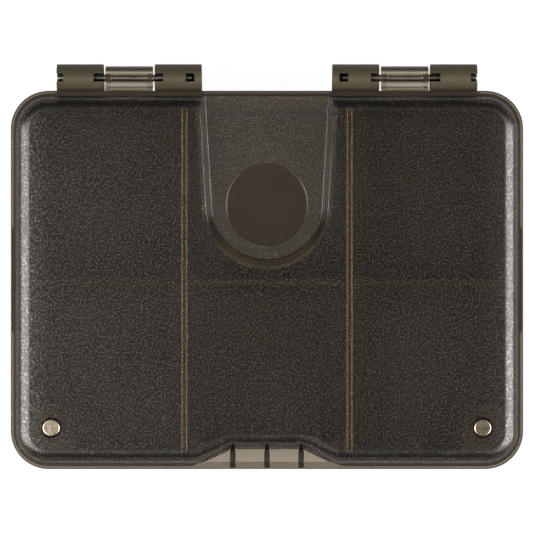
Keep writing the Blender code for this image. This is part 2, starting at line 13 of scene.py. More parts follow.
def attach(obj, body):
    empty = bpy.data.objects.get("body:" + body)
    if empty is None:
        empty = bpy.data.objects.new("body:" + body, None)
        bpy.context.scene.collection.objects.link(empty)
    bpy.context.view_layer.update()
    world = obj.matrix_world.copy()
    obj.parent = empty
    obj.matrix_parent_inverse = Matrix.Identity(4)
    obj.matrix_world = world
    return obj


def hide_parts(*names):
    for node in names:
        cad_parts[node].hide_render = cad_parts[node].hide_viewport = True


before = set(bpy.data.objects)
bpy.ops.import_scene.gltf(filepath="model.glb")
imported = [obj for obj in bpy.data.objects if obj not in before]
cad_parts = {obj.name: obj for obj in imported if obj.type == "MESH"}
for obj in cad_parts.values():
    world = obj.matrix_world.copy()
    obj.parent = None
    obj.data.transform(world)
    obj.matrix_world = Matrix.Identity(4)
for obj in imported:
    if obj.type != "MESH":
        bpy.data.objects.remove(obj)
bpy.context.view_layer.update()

MM = 0.001

# Body, measured over the lid's edge
BODY_WIDTH = 105.0 * MM
BODY_DEPTH = 77.5 * MM
BODY_HEIGHT = 25.0 * MM
CORNER_RADIUS = 7.8 * MM

# Clearances and cutting allowances
RUNNING_GAP = 0.3 * MM
OVERRUN = 1.0 * MM
ROOT = 1.2 * MM
LEAST_RADIUS = 0.3 * MM
TOUCH = 0.01 * MM

# Lid: flange, domed top and wall
FLANGE_WIDTH = 1.1 * MM
FLANGE_THICKNESS = 1.4 * MM
FLANGE_EDGE = 0.3 * MM
FLANGE_TOP_EDGE = 0.15 * MM
FLANGE_FILLET = 0.08 * MM
DOME_RISE = 3.0 * MM
SHOULDER_RADIUS = 2.7 * MM
LID_WALL = 1.3 * MM
CROWN_TILT = math.radians(2.5)
CROWN_RUN = 4.2 * MM
CROWN_STEPS = 8
GRAIN_LINE = 0.22 * MM

# Thumb notch, as it stands in an outline at the body's edge
NOTCH_HALF_WIDTH = 7.3 * MM
NOTCH_REACH = 3.2 * MM
NOTCH_SLOPE = math.radians(25.5)
NOTCH_FLOOR_RADIUS = 3.5 * MM
NOTCH_MOUTH_RADIUS = 3.0 * MM
NOTCH_LIP_WIDTH = 1.3 * MM
NOTCH_RECESS = 0.7 * MM
NOTCH_RECESS_EDGE = 0.4 * MM

# Grip ribs in the notch
RIB_COUNT = 3
RIB_PITCH = 7.0 * MM
RIB_WIDTH = 1.25 * MM
RIB_EDGE = 0.15 * MM
RIB_FRONT_RISE = 0.45 * MM
RIB_BACK_RISE = 2.3 * MM
RIB_LENGTH = 5.0 * MM
RIB_POINT_LENGTH = 1.8 * MM
RIB_POINT_SHARE = 0.3

# Sunk tongue in the lid's top, with the round seat at its end
TONGUE_DEPTH = 2.3 * MM
TONGUE_END_RADIUS = 11.35 * MM
TONGUE_BACK_HALF_WIDTH = 12.75 * MM
TONGUE_END_SETBACK = 23.3 * MM
TONGUE_WALL_SPREAD = 1.15 * MM
TONGUE_TOP_RADIUS = 0.2 * MM
TONGUE_FOOT_RADIUS = 0.2 * MM
SEAT_RADIUS = 8.3 * MM
SEAT_DEPTH = 0.35 * MM
SEAT_EDGE = 0.12 * MM

# Tray: outer wall, rim and centring lip
RIM_INSET = 0.5 * MM
RIM_EDGE = 0.3 * MM
WALL_DRAFT = 1.7 * MM
BOTTOM_RADIUS = 2.5 * MM
LIP_RISE = 0.8 * MM
LIP_WIDTH = 1.0 * MM
LIP_EDGE = 0.2 * MM

# Wells and dividers
FLOOR_THICKNESS = 1.6 * MM
WELL_DRAFT = 0.5 * MM
WELL_CORNER_RADIUS = 3.1 * MM
WELL_SCOOP = 2.0 * MM
DIVIDER_X = 16.9 * MM
DIVIDER_THICKNESS = 1.2 * MM
DIVIDER_LEDGE = 0.1 * MM
DIVIDER_EDGE = 0.24 * MM
DIVIDER_END_INSET = 3.5 * MM
CROSS_DIVIDER_OFFSET = -0.4 * MM
CROSS_DIVIDER_THICKNESS = 1.0 * MM

# Pads that stand out from the tray's wall to the lid's edge
SIDE_PAD_LENGTH = 21.5 * MM
PAD_HEIGHT = 4.0 * MM
PAD_EDGE = 0.3 * MM
HINGE_PAD_HEIGHT = 7.0 * MM
HINGE_PAD_MARGIN = 0.4 * MM

# Hinges
HINGE_END_INSET = 9.35 * MM
HINGE_BEHIND = 2.75 * MM
HINGE_DROP = 1.0 * MM
KNUCKLE_WIDTH = 9.75 * MM
KNUCKLE_RADIUS = 2.4 * MM
KNUCKLE_ARM_RISE = 1.3 * MM
KNUCKLE_EDGE = 0.3 * MM
LUG_WIDTH = 9.65 * MM
LUG_RADIUS = 2.8 * MM
LUG_TOP_RISE = 0.7 * MM
LUG_EDGE = 0.35 * MM
LUG_GUSSET_ANGLE = math.radians(45.0)
HINGE_SIDE_GAP = 0.35 * MM

# Hinge pins and their bores
PIN_RADIUS = 0.75 * MM
PIN_LENGTH = 27.8 * MM
PIN_EDGE = 0.2 * MM
BORE_CLEARANCE = 0.2 * MM
BORE_RUN_OUT = 0.3 * MM

# Mould windows of the hinge lugs and the knuckle pockets
WINDOW_WIDTH = 1.7 * MM
OUTER_END_WINDOW = 1.4 * MM
OUTER_KNUCKLE_WINDOW = 2.1 * MM
INNER_KNUCKLE_WINDOW = 1.8 * MM
PIN_END_WINDOW = 1.9 * MM
PIN_END_WALL = 1.4 * MM
WINDOW_BRIDGE = 0.6 * MM
WINDOW_OVERLAP = 0.25 * MM
POCKET_LENGTH = 7.4 * MM
POCKET_FRONT = 2.6 * MM
POCKET_STEP = 1.3 * MM
POCKET_BACK = 0.8 * MM
POCKET_STEP_DEPTH = 0.45 * MM

# Magnets, their bosses in the lid and their posts in the tray
MAGNET_SIDE_INSET = 8.4 * MM
MAGNET_FRONT_INSET = 8.55 * MM
MAGNET_RADIUS = 1.85 * MM
MAGNET_THICKNESS = 2.0 * MM
MAGNET_EDGE = 0.35 * MM
MAGNET_SIDE_GAP = 0.25 * MM
MAGNET_SINK = 0.15 * MM
BOSS_RADIUS = 3.2 * MM
BOSS_DROP = 2.3 * MM
POST_RADIUS = 4.3 * MM

# Facets: steps in a quarter turn, steps of the long arcs, and sides of round pieces
CORNER_STEPS = 20
WELL_CORNER_STEPS = 10
LEAST_STEPS = 4
SHOULDER_STEPS = 14
FOOT_STEPS = 8
EDGE_STEPS = 5
TONGUE_END_STEPS = 72
BARREL_STEPS = 56
SEAT_SIDES = 128
ROUND_SIDES = 64
PIN_SIDES = 40

# Edge roundings and shading
BEVEL_SEGMENTS = 3
BEVEL_ANGLE = math.radians(40.0)
SHARP_ANGLE = math.radians(28.0)
FLAT_FACE_WEIGHT = 100

# Levels and insets that follow from the sizes above
FLANGE_TOP = BODY_HEIGHT - DOME_RISE
FLANGE_UNDERSIDE = FLANGE_TOP - FLANGE_THICKNESS
LID_INSIDE_TOP = BODY_HEIGHT - LID_WALL
LID_INSIDE_INSET = FLANGE_WIDTH + LID_WALL
RIM_HEIGHT = FLANGE_UNDERSIDE - RUNNING_GAP
LIP_TOP = RIM_HEIGHT + LIP_RISE
LIP_INSET = LID_INSIDE_INSET + RUNNING_GAP
WELL_INSET = LIP_INSET + LIP_WIDTH
DIVIDER_TOP = LID_INSIDE_TOP - RUNNING_GAP
TONGUE_FLOOR = BODY_HEIGHT - TONGUE_DEPTH
TONGUE_SLOPE = math.atan2(TONGUE_DEPTH, TONGUE_WALL_SPREAD)
TONGUE_CENTRE_Y = BODY_DEPTH / 2 - TONGUE_END_SETBACK
HINGE_Y = BODY_DEPTH / 2 + HINGE_BEHIND
HINGE_Z = RIM_HEIGHT - HINGE_DROP
HINGE_HALF_WIDTH = KNUCKLE_WIDTH / 2 + HINGE_SIDE_GAP + LUG_WIDTH
HINGE_X = BODY_WIDTH / 2 - HINGE_END_INSET - HINGE_HALF_WIDTH
TRAY_NOTCH_REACH = NOTCH_REACH + FLANGE_WIDTH - RIM_INSET
MAGNET_X = BODY_WIDTH / 2 - MAGNET_SIDE_INSET
MAGNET_Y = MAGNET_FRONT_INSET - BODY_DEPTH / 2
MAGNET_POCKET_DEPTH = MAGNET_THICKNESS + MAGNET_SINK + RUNNING_GAP

# Camera: straight above, its middle a little behind the body's middle
CAMERA_HEIGHT = 1.0
VIEW_MIDDLE = (-0.0001, 0.00275)
VIEW_WIDTH = 0.1092  # at the level of the lid's flange
SENSOR_WIDTH = 36.0  # in millimetres, as Blender has it
VIEW_RANGE = (0.01, 10.0)


def look_down():
    """The photograph's view: straight down, with the hinges at the top."""
    data = bpy.data.cameras.new("overhead")
    data.sensor_width = SENSOR_WIDTH
    data.lens = SENSOR_WIDTH * (CAMERA_HEIGHT - FLANGE_TOP) / VIEW_WIDTH
    data.clip_start, data.clip_end = VIEW_RANGE
    camera = bpy.data.objects.new("overhead", data)
    camera.location = (*VIEW_MIDDLE, CAMERA_HEIGHT)
    bpy.context.scene.collection.objects.link(camera)
    bpy.context.scene.camera = camera


look_down()


# ---- Shader tools


def linear(level):
    """Linear value of one sRGB channel given from 0 to 255."""
    share = level / 255
    return share / 12.92 if share <= 0.04045 else ((share + 0.055) / 1.055) ** 2.4


def colour(*levels):
    """Linear RGBA of an sRGB colour given from 0 to 255."""
    return [linear(level) for level in levels] + [1.0]


def new_group(name, inputs, outputs):
    """Empty shader node group. Each input is (name, kind, default)."""
    group = bpy.data.node_groups.new(name, "ShaderNodeTree")
    for label, kind, default in inputs:
        socket = group.interface.new_socket(name=label, in_out="INPUT", socket_type=kind)
        socket.default_value = default
    for label, kind in outputs:
        group.interface.new_socket(name=label, in_out="OUTPUT", socket_type=kind)
    return group, group.nodes.new("NodeGroupInput"), group.nodes.new("NodeGroupOutput")


def put(tree, kind, settings=None, **sockets):
    """Node with its settings, each named socket given a value or a link."""
    node = tree.nodes.new(kind)
    for key, value in (settings or {}).items():
        setattr(node, key, value)
    for key, value in sockets.items():
        wire(tree, node.inputs[key.replace("_", " ")], value)
    return node


def wire(tree, socket, value):
    if isinstance(value, bpy.types.NodeSocket):
        tree.links.new(value, socket)
    else:
        socket.default_value = value


def maths(tree, operation, first, second, clamp=False):
    node = tree.nodes.new("ShaderNodeMath")
    node.operation = operation
    node.use_clamp = clamp
    wire(tree, node.inputs[0], first)
    wire(tree, node.inputs[1], second)
    return node.outputs[0]


def ramp(tree, value, low, high, to_low=0.0, to_high=1.0):
    """Smooth step of a value between two levels."""
    node = tree.nodes.new("ShaderNodeMapRange")
    node.interpolation_type = "SMOOTHSTEP"
    wire(tree, node.inputs["Value"], value)
    wire(tree, node.inputs["From Min"], low)
    wire(tree, node.inputs["From Max"], high)
    wire(tree, node.inputs["To Min"], to_low)
    wire(tree, node.inputs["To Max"], to_high)
    return node.outputs[0]


def blend_colour(tree, share, first, second):
    node = tree.nodes.new("ShaderNodeMix")
    node.data_type = "RGBA"
    wire(tree, node.inputs["Factor"], share)
    wire(tree, node.inputs[6], first)
    wire(tree, node.inputs[7], second)
    return node.outputs[2]


def noise(tree, place, scale, detail=2.0, roughness=0.5):
    node = put(tree, "ShaderNodeTexNoise", Scale=scale, Detail=detail, Roughness=roughness)
    tree.links.new(place, node.inputs["Vector"])
    return node.outputs["Fac"]


def object_place(tree):
    return tree.nodes.new("ShaderNodeTexCoord").outputs["Object"]


def raised(tree, base, mask, amount, clamp=False):
    """A value raised by an amount where a mask is full."""
    return maths(tree, "ADD", maths(tree, "MULTIPLY", mask, amount), base, clamp)


def washed(tree, tint, mask, amount, towards):
    """A colour that goes an amount of the way towards another where a mask is full."""
    return blend_colour(tree, maths(tree, "MULTIPLY", mask, amount), tint, towards)


# ---- Finishes that more than one material uses

# Mould texture: its two noises' shares, and the levels between which each mask rises
FINE_SHARE = 0.9
BROAD_SHARE = 0.1
BROAD_PITCH = 0.3
# Streaks on which glints are painted: their pitch, turn, stretch and levels
GLINT_PITCH = 1.2
GLINT_TURN = 0.6
GLINT_STRETCH = (1.0, 0.45, 1.0)
GLINT_LEVELS = (0.62, 0.74)
MOTTLE_LEVELS = (0.46, 0.68)

# Handling marks: each noise's scale, and the levels between which its mask rises
SMEAR_SCALE = 60.0
SMEAR_LEVELS = (0.35, 0.7)
DUST_SCALE = 1500.0
DUST_LEVELS = (0.76, 0.8)
SCRATCH_RUNS = ((0.5, (900.0, 22.0, 60.0)), (-0.9, (16.0, 1100.0, 60.0)))
SCRATCH_LEVELS = (0.72, 0.78)

# Edges: how far the softened normal leans from the face's own, as the cosine
EDGE_SAMPLES = 4
EDGE_LEVELS = (0.995, 0.9)


def mould_grain_group():
    """Spark-eroded mould texture: a height for bumps, a mask of its crests, and a mask of streaks on which
    glints are painted.
    """
    group, given, out = new_group(
        "mould_grain",
        [("Pitch", "NodeSocketFloat", 2600.0), ("Coarseness", "NodeSocketFloat", 0.65)],
        [("Height", "NodeSocketFloat"), ("Painted Glints", "NodeSocketFloat"), ("Mottle", "NodeSocketFloat")],
    )
    place = object_place(group)
    fine = noise(group, place, given.outputs["Pitch"], 3.0, given.outputs["Coarseness"])
    broad = noise(group, place, maths(group, "MULTIPLY", given.outputs["Pitch"], BROAD_PITCH), 2.0)
    height = raised(group, maths(group, "MULTIPLY", broad, BROAD_SHARE), fine, FINE_SHARE)
    turn = (0.0, 0.0, GLINT_TURN)
    strokes = put(group, "ShaderNodeMapping", Vector=place, Rotation=turn, Scale=GLINT_STRETCH)
    pitch = maths(group, "MULTIPLY", given.outputs["Pitch"], GLINT_PITCH)
    painted_glints = noise(group, strokes.outputs[0], pitch, 1.0)
    group.links.new(height, out.inputs["Height"])
    group.links.new(ramp(group, painted_glints, *GLINT_LEVELS), out.inputs["Painted Glints"])
    group.links.new(ramp(group, height, *MOTTLE_LEVELS), out.inputs["Mottle"])
    return group


def handling_group():
    """Light handling marks: smears that change the gloss, sparse dust and hair scratches."""
    group, given, out = new_group(
        "handling_marks",
        [("Dust", "NodeSocketFloat", 0.5), ("Scratches", "NodeSocketFloat", 0.5)],
        [("Smears", "NodeSocketFloat"), ("Dust", "NodeSocketFloat"), ("Scratches", "NodeSocketFloat")],
    )
    place = object_place(group)
    smears = ramp(group, noise(group, place, SMEAR_SCALE, 3.0), *SMEAR_LEVELS)
    specks = ramp(group, noise(group, place, DUST_SCALE, 0.0), *DUST_LEVELS)
    dust = maths(group, "MULTIPLY", specks, given.outputs["Dust"])
    lines = []
    for turn, scale in SCRATCH_RUNS:
        mapping = put(group, "ShaderNodeMapping", Vector=place, Rotation=(0.0, 0.0, turn), Scale=scale)
        field = noise(group, mapping.outputs[0], 1.0, 1.0)
        lines.append(ramp(group, field, *SCRATCH_LEVELS))
    scratches = maths(group, "MULTIPLY", maths(group, "MAXIMUM", *lines), given.outputs["Scratches"])
    group.links.new(smears, out.inputs["Smears"])
    group.links.new(dust, out.inputs["Dust"])
    group.links.new(scratches, out.inputs["Scratches"])
    return group


def edge_rub_group():
    """Softened normal at sharp edges, and a mask of those edges, where handling rubs them."""
    group, given, out = new_group(
        "edge_rub",
        [("Radius", "NodeSocketFloat", 0.00015)],
        [("Edges", "NodeSocketFloat"), ("Normal", "NodeSocketVector")],
    )
    bevel = put(group, "ShaderNodeBevel", {"samples": EDGE_SAMPLES}, Radius=given.outputs["Radius"])
    plain = group.nodes.new("ShaderNodeNewGeometry")
    turn = group.nodes.new("ShaderNodeVectorMath")
    turn.operation = "DOT_PRODUCT"
    group.links.new(bevel.outputs[0], turn.inputs[0])
    group.links.new(plain.outputs["Normal"], turn.inputs[1])
    group.links.new(ramp(group, turn.outputs["Value"], *EDGE_LEVELS), out.inputs["Edges"])
    group.links.new(bevel.outputs[0], out.inputs["Normal"])
    return group


GRAIN = mould_grain_group()
HANDLING = handling_group()
EDGES = edge_rub_group()


def use(tree, group, **inputs):
    node = tree.nodes.new("ShaderNodeGroup")
    node.node_tree = group
    for key, value in inputs.items():
        wire(tree, node.inputs[key], value)
    return node.outputs


def new_material(name):
    material = bpy.data.materials.new(name)
    material.use_nodes = True
    tree = material.node_tree
    return material, tree, tree.nodes["Principled BSDF"], tree.nodes["Material Output"]


# Smoked plastic
SMOKE_IOR = 1.35
SMOKE_SHADE = (0.66, 0.63, 0.58, 1.0)  # what a shadow ray keeps at each surface
CLEAR_SMOKE = colour(130, 121, 109)
# Painted shade: a darker tint for the lid's steep walls
PAINTED_SHADE_SMOKE = colour(92, 82, 68)
# Painted glints: the near-white colour painted on the grain's streaks, and its share
PAINTED_GLINT_TINT = colour(255, 250, 240)
PAINTED_GLINT_SHARE = 0.6
SMOKE_EDGE_TINT = colour(240, 236, 228)
SMOKE_EDGE_SHARE = 0.25
SMOKE_SCRATCHES = 0.5
SMOKE_SMEAR_GLOSS = 0.05
SMOKE_DUST_GLOSS = 0.2
# Painted light on walls that face the front or the back: where its share rises
PAINTED_ENDS_LEVELS = (0.3, 0.9)
PLAIN = {"grain": 0.0, "pitch": 2600.0, "clarity": 0.97, "dust": 0.4, "haze": None, "ends": None}
PLAIN |= {"coat": 0.0, "coat_ior": 1.6, "sheen": 0.2, "speckle": 0.3}

# Olive plastic
OLIVE_IOR = 1.5
OLIVE_PITCH = 3200.0
OLIVE_GRAIN = 0.12
OLIVE_DUST = 0.25
OLIVE_SCRATCHES = 0.6
OLIVE_EDGE_TINT = colour(150, 143, 120)
OLIVE_EDGE_SHARE = 0.12
OLIVE_DUST_TINT = colour(150, 146, 134)
OLIVE_DUST_SHARE = 0.5
OLIVE_SMEAR_GLOSS = 0.12

# Relief of both plastics, and the metals' strokes
RELIEF_DEPTH = 0.2 * MM
SCRATCH_DEPTH = 0.1
METAL_EDGE = 0.1 * MM
STROKE_DEPTH = 0.02 * MM
STROKE_STRENGTH = 0.4
STROKE_GLOSS = 0.18


def bumped(tree, shader, edges, height, strength, depth):
    """Relief on a surface whose sharp edges are softened."""
    settings = {"Strength": strength, "Distance": depth, "Height": height, "Normal": edges["Normal"]}
    wire(tree, shader.inputs["Normal"], put(tree, "ShaderNodeBump", **settings).outputs[0])


def moulded(tree, shader, edges, texture, grain, marks):
    """Relief of a mould texture, with the hair scratches cut into it."""
    height = maths(tree, "MULTIPLY", texture["Height"], grain)
    cuts = maths(tree, "MULTIPLY", marks["Scratches"], SCRATCH_DEPTH)
    bumped(tree, shader, edges, maths(tree, "SUBTRACT", height, cuts), 1.0, RELIEF_DEPTH)


def light_through(tree, shader, out):
    """Tinted shadow of a see-through moulding, in place of a dark one."""
    clear = put(tree, "ShaderNodeBsdfTransparent", Color=SMOKE_SHADE)
    path = tree.nodes.new("ShaderNodeLightPath")
    mix = tree.nodes.new("ShaderNodeMixShader")
    tree.links.new(path.outputs["Is Shadow Ray"], mix.inputs[0])
    tree.links.new(shader.outputs[0], mix.inputs[1])
    tree.links.new(clear.outputs[0], mix.inputs[2])
    tree.links.new(mix.outputs[0], out.inputs["Surface"])


def smoked_plastic(name, body, roughness, **other):
    """Smoked see-through moulding. body is its colour, and the colour given for its grain is painted light:
    the grain's crests painted lighter, as if lit.

    roughness is the clear plastic's own, grain and pitch its texture's height and fineness. coat is the
    share of a broader gloss, sheen that gloss's roughness, and speckle how far the grain's crests differ in
    it. ends is painted light: a lighter colour painted on walls that face the front or the back, where the
    lamps give little light.
    """
    given = PLAIN | other
    grain, coat, speckle = given["grain"], given["coat"], given["speckle"]
    material, tree, shader, out = new_material(name)
    edges = use(tree, EDGES)
    marks = use(tree, HANDLING, Dust=given["dust"], Scratches=SMOKE_SCRATCHES)
    texture = use(tree, GRAIN, Pitch=given["pitch"])
    # Painted light: the grain's crests take the lighter lit colour
    tint = blend_colour(tree, texture["Mottle"], body, given["haze"]) if grain else body
    # Painted light: walls that face the front or the back take a lighter colour than the lamps give them
    if given["ends"]:
        facing = tree.nodes.new("ShaderNodeTexCoord").outputs["Normal"]
        along = put(tree, "ShaderNodeSeparateXYZ", Vector=facing).outputs["Y"]
        share = ramp(tree, maths(tree, "ABSOLUTE", along, 0.0), *PAINTED_ENDS_LEVELS)
        tint = blend_colour(tree, share, body, given["ends"])
    # Painted glints: near-white streaks painted into the grained tint
    if grain:
        tint = washed(tree, tint, texture["Painted Glints"], PAINTED_GLINT_SHARE, PAINTED_GLINT_TINT)
    tint = washed(tree, tint, edges["Edges"], SMOKE_EDGE_SHARE, SMOKE_EDGE_TINT)
    wire(tree, shader.inputs["Base Color"], tint)
    gloss = raised(tree, roughness, marks["Smears"], SMOKE_SMEAR_GLOSS)
    gloss = raised(tree, gloss, marks["Dust"], SMOKE_DUST_GLOSS, clamp=True)
    wire(tree, shader.inputs["Roughness"], gloss)
    shader.inputs["IOR"].default_value = SMOKE_IOR
    shader.inputs["Transmission Weight"].default_value = given["clarity"]
    shine = coat
    if grain:
        shine = ramp(tree, texture["Mottle"], 0.0, 1.0, coat * (1 - speckle), coat * (1 + speckle))
    wire(tree, shader.inputs["Coat Weight"], shine)
    shader.inputs["Coat IOR"].default_value = given["coat_ior"]
    shader.inputs["Coat Roughness"].default_value = given["sheen"]
    moulded(tree, shader, edges, texture, grain, marks)
    light_through(tree, shader, out)
    return material


def olive_plastic(name, body, crests, roughness):
    """Opaque satin moulding of the tray and its lugs. crests colours the texture's high spots."""
    material, tree, shader, _ = new_material(name)
    edges = use(tree, EDGES)
    marks = use(tree, HANDLING, Dust=OLIVE_DUST, Scratches=OLIVE_SCRATCHES)
    texture = use(tree, GRAIN, Pitch=OLIVE_PITCH)
    tint = blend_colour(tree, texture["Mottle"], body, crests)
    tint = washed(tree, tint, edges["Edges"], OLIVE_EDGE_SHARE, OLIVE_EDGE_TINT)
    tint = washed(tree, tint, marks["Dust"], OLIVE_DUST_SHARE, OLIVE_DUST_TINT)
    wire(tree, shader.inputs["Base Color"], tint)
    wire(tree, shader.inputs["Roughness"], raised(tree, roughness, marks["Smears"], OLIVE_SMEAR_GLOSS))
    shader.inputs["IOR"].default_value = OLIVE_IOR
    moulded(tree, shader, edges, texture, OLIVE_GRAIN, marks)
    return material


def metal(name, bright, worn, roughness, brush):
    """Bare metal with a brushed or turned grain. brush is the grain's fineness along X, Y and Z."""
    material, tree, shader, _ = new_material(name)
    edges = use(tree, EDGES, Radius=METAL_EDGE)
    marks = use(tree, HANDLING)
    mapping = put(tree, "ShaderNodeMapping", Vector=object_place(tree), Scale=brush)
    strokes = noise(tree, mapping.outputs[0], 1.0, 3.0, 0.6)
    wire(tree, shader.inputs["Base Color"], blend_colour(tree, marks["Smears"], bright, worn))
    wire(tree, shader.inputs["Roughness"], raised(tree, roughness, strokes, STROKE_GLOSS))
    shader.inputs["Metallic"].default_value = 1.0
    bumped(tree, shader, edges, strokes, STROKE_STRENGTH, STROKE_DEPTH)
    return material


# The lid's surfaces, each with the tint that the light takes on there: copies of one smoked plastic, made
# lighter or darker as painted light and shade
SMOKED_GRAINED = smoked_plastic(
    "smoked_grained", colour(130, 118, 98), 0.275, haze=colour(255, 246, 226), grain=0.04, pitch=2800.0,
    clarity=1.0, coat=0.5, coat_ior=2.4, sheen=0.28, speckle=1.0,
)
# Painted shade: the shoulder takes a much darker tint than the top, for the shade on its front and back
SMOKED_SHADED_SHOULDER = smoked_plastic(
    "smoked_shoulder_painted_shade", colour(42, 37, 30), 0.275, haze=colour(64, 58, 48), grain=0.04,
    clarity=1.0, coat=0.6, coat_ior=2.7, sheen=0.28, speckle=0.6,
)
SMOKED_TONGUE = smoked_plastic(
    "smoked_tongue", colour(150, 138, 120), 0.32, haze=colour(255, 248, 230), grain=0.05, pitch=3000.0,
    coat=0.66, coat_ior=2.15, sheen=0.3, speckle=0.8,
)
SMOKED_SEAT = smoked_plastic(
    "smoked_seat", colour(186, 168, 148), 0.14, haze=colour(196, 178, 158), grain=0.05,
    clarity=0.965, dust=0.15, coat=0.5, coat_ior=1.8, speckle=0.1,
)
# Painted shade and light: the tongue's walls take a darker tint, painted lighter where they face the front
# or the back
SMOKED_SHADED_SLOPE = smoked_plastic(
    "smoked_slope_painted_shade", colour(106, 97, 84), 0.08, ends=colour(168, 158, 143), coat=0.55, coat_ior=2.0,
)
# Painted shade: the tongue's underside walls are a nearly opaque dark, painted lighter where they face the
# front or the back
SMOKED_SHADED_UNDERSIDE = smoked_plastic(
    "smoked_underside_painted_shade", colour(40, 36, 29), 0.3, ends=colour(102, 95, 84), clarity=0.1,
)
SMOKED_POLISHED = smoked_plastic("smoked_polished", CLEAR_SMOKE, 0.08)
SMOKED_FLANGE = smoked_plastic("smoked_flange", CLEAR_SMOKE, 0.08, coat=0.4, sheen=0.35)
SMOKED_LINE = smoked_plastic("smoked_grain_line", CLEAR_SMOKE, 0.12, coat=1.0, sheen=0.3)
# Painted shade: steep walls in the darker tint
SMOKED_SHADED_WALL = smoked_plastic("smoked_steep_wall_painted_shade", PAINTED_SHADE_SMOKE, 0.08)
SMOKED_KNUCKLE = smoked_plastic("smoked_knuckle", colour(184, 174, 157), 0.1, coat=0.4)
SMOKED_POCKET = smoked_plastic("smoked_knuckle_pocket", colour(234, 226, 212), 0.1)
SMOKED_PLATE = smoked_plastic("smoked_notch_plate", colour(226, 216, 202), 0.1)
SMOKED_RIBS = smoked_plastic("smoked_ribs", colour(24, 20, 15), 0.2, clarity=0.98)

# The tray, the crests of its dividers (near-white, a painted highlight), the pins and the magnets
OLIVE = olive_plastic("olive_moulding", colour(71, 66, 51), colour(80, 75, 58), 0.42)
OLIVE_PAINTED_HIGHLIGHT = olive_plastic("olive_painted_highlight", colour(236, 230, 216), colour(244, 240, 226), 0.15)
STEEL = metal("pin_steel", colour(206, 202, 196), colour(170, 166, 158), 0.16, (300.0, 6000.0, 6000.0))
NICKEL = metal("magnet_nickel", colour(222, 207, 184), colour(198, 184, 160), 0.14, (500.0, 500.0, 300.0))


# ---- Shapes


def mesh_object(name, shape, *materials):
    """Object from a bmesh, which this frees."""
    mesh = bpy.data.meshes.new(name)
    bmesh.ops.recalc_face_normals(shape, faces=shape.faces)
    shape.to_mesh(mesh)
    shape.free()
    for material in materials:
        mesh.materials.append(material)
    obj = bpy.data.objects.new(name, mesh)
    bpy.context.scene.collection.objects.link(obj)
    return obj


def loft(name, rings, materials, bands=None, caps=(0, 0)):
    """Closed solid through rings of points. bands and caps say which material each part takes."""
    shape = bmesh.new()
    rows = [[shape.verts.new(point) for point in ring] for ring in rings]
    bands = bands or [0] * (len(rows) - 1)
    for lower, upper, band in zip(rows, rows[1:], bands):
        for index, vertex in enumerate(lower):
            face = shape.faces.new((lower[index - 1], vertex, upper[index], upper[index - 1]))
            face.material_index = band
    for row, cap in ((rows[0], caps[0]), (rows[-1], caps[1])):
        shape.faces.new(row).material_index = cap
    return mesh_object(name, shape, *materials)


def turned(name, profile, centre, axis, sides, material):
    """Solid of revolution from a profile of (radius, along) pairs, about X or Z through centre."""
    rings = []
    for radius, along in profile:
        ring = []
        for step in range(sides):
            angle = math.tau * step / sides
            across, up = radius * math.cos(angle), radius * math.sin(angle)
            offset = Vector((along, across, up)) if axis == "X" else Vector((across, up, along))
            ring.append(Vector(centre) + offset)
        rings.append(ring)
    return loft(name, rings, [material])


def turned_ends(radius, length, edge):
    """Profile of a round bar with rounded ends."""
    start = [(radius - edge + edge * math.sin(a), edge - edge * math.cos(a)) for a in quarter(EDGE_STEPS)]
    return start + [(r, length - along) for r, along in reversed(start)]


def quarter(steps):
    """Angles of a quarter turn."""
    return [math.pi / 2 * step / steps for step in range(steps + 1)]


def block(name, low, high, *materials, edge=0.0):
    """Box between two corners. Where edge is given, its edges are rounded, in the last material."""
    shape = bmesh.new()
    bmesh.ops.create_cube(shape, size=1.0)
    size = Vector(high) - Vector(low)
    bmesh.ops.scale(shape, vec=size, verts=shape.verts)
    bmesh.ops.translate(shape, vec=Vector(low) + size / 2, verts=shape.verts)
    obj = mesh_object(name, shape, *materials)
    if edge:
        round_edges(obj, edge).material = len(materials) - 1
    return obj


def round_edges(obj, width):
    bevel = obj.modifiers.new("round_edges", "BEVEL")
    bevel.width = width
    bevel.segments = BEVEL_SEGMENTS
    bevel.limit_method = "ANGLE"
    bevel.angle_limit = BEVEL_ANGLE
    return bevel


def settle(obj):
    """Turn what the modifiers make into the object's own mesh."""
    graph = bpy.context.evaluated_depsgraph_get()
    mesh = bpy.data.meshes.new_from_object(obj.evaluated_get(graph))
    obj.modifiers.clear()
    obj.data = mesh


def combine(obj, operation, others):
    """Boolean with other solids, which are used up."""
    for other in others:
        boolean = obj.modifiers.new(other.name, "BOOLEAN")
        boolean.operation = operation
        boolean.object = other
        boolean.solver = "EXACT"
        boolean.material_mode = "TRANSFER"
    settle(obj)
    for other in others:
        bpy.data.objects.remove(other, do_unlink=True)


def join(obj, *others):
    combine(obj, "UNION", others)


def cut(obj, *others):
    combine(obj, "DIFFERENCE", others)


def finish_piece(obj, body, node):
    """Smooth shading, then the piece rides on its body in the place of its CAD node."""
    obj.data.shade_smooth()
    obj.data.set_sharp_from_angle(angle=SHARP_ANGLE)
    weighted = obj.modifiers.new("flat_faces_stay_flat", "WEIGHTED_NORMAL")
    weighted.keep_sharp = True
    weighted.weight = FLAT_FACE_WEIGHT
    settle(obj)
    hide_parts(node)
    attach(obj, body)


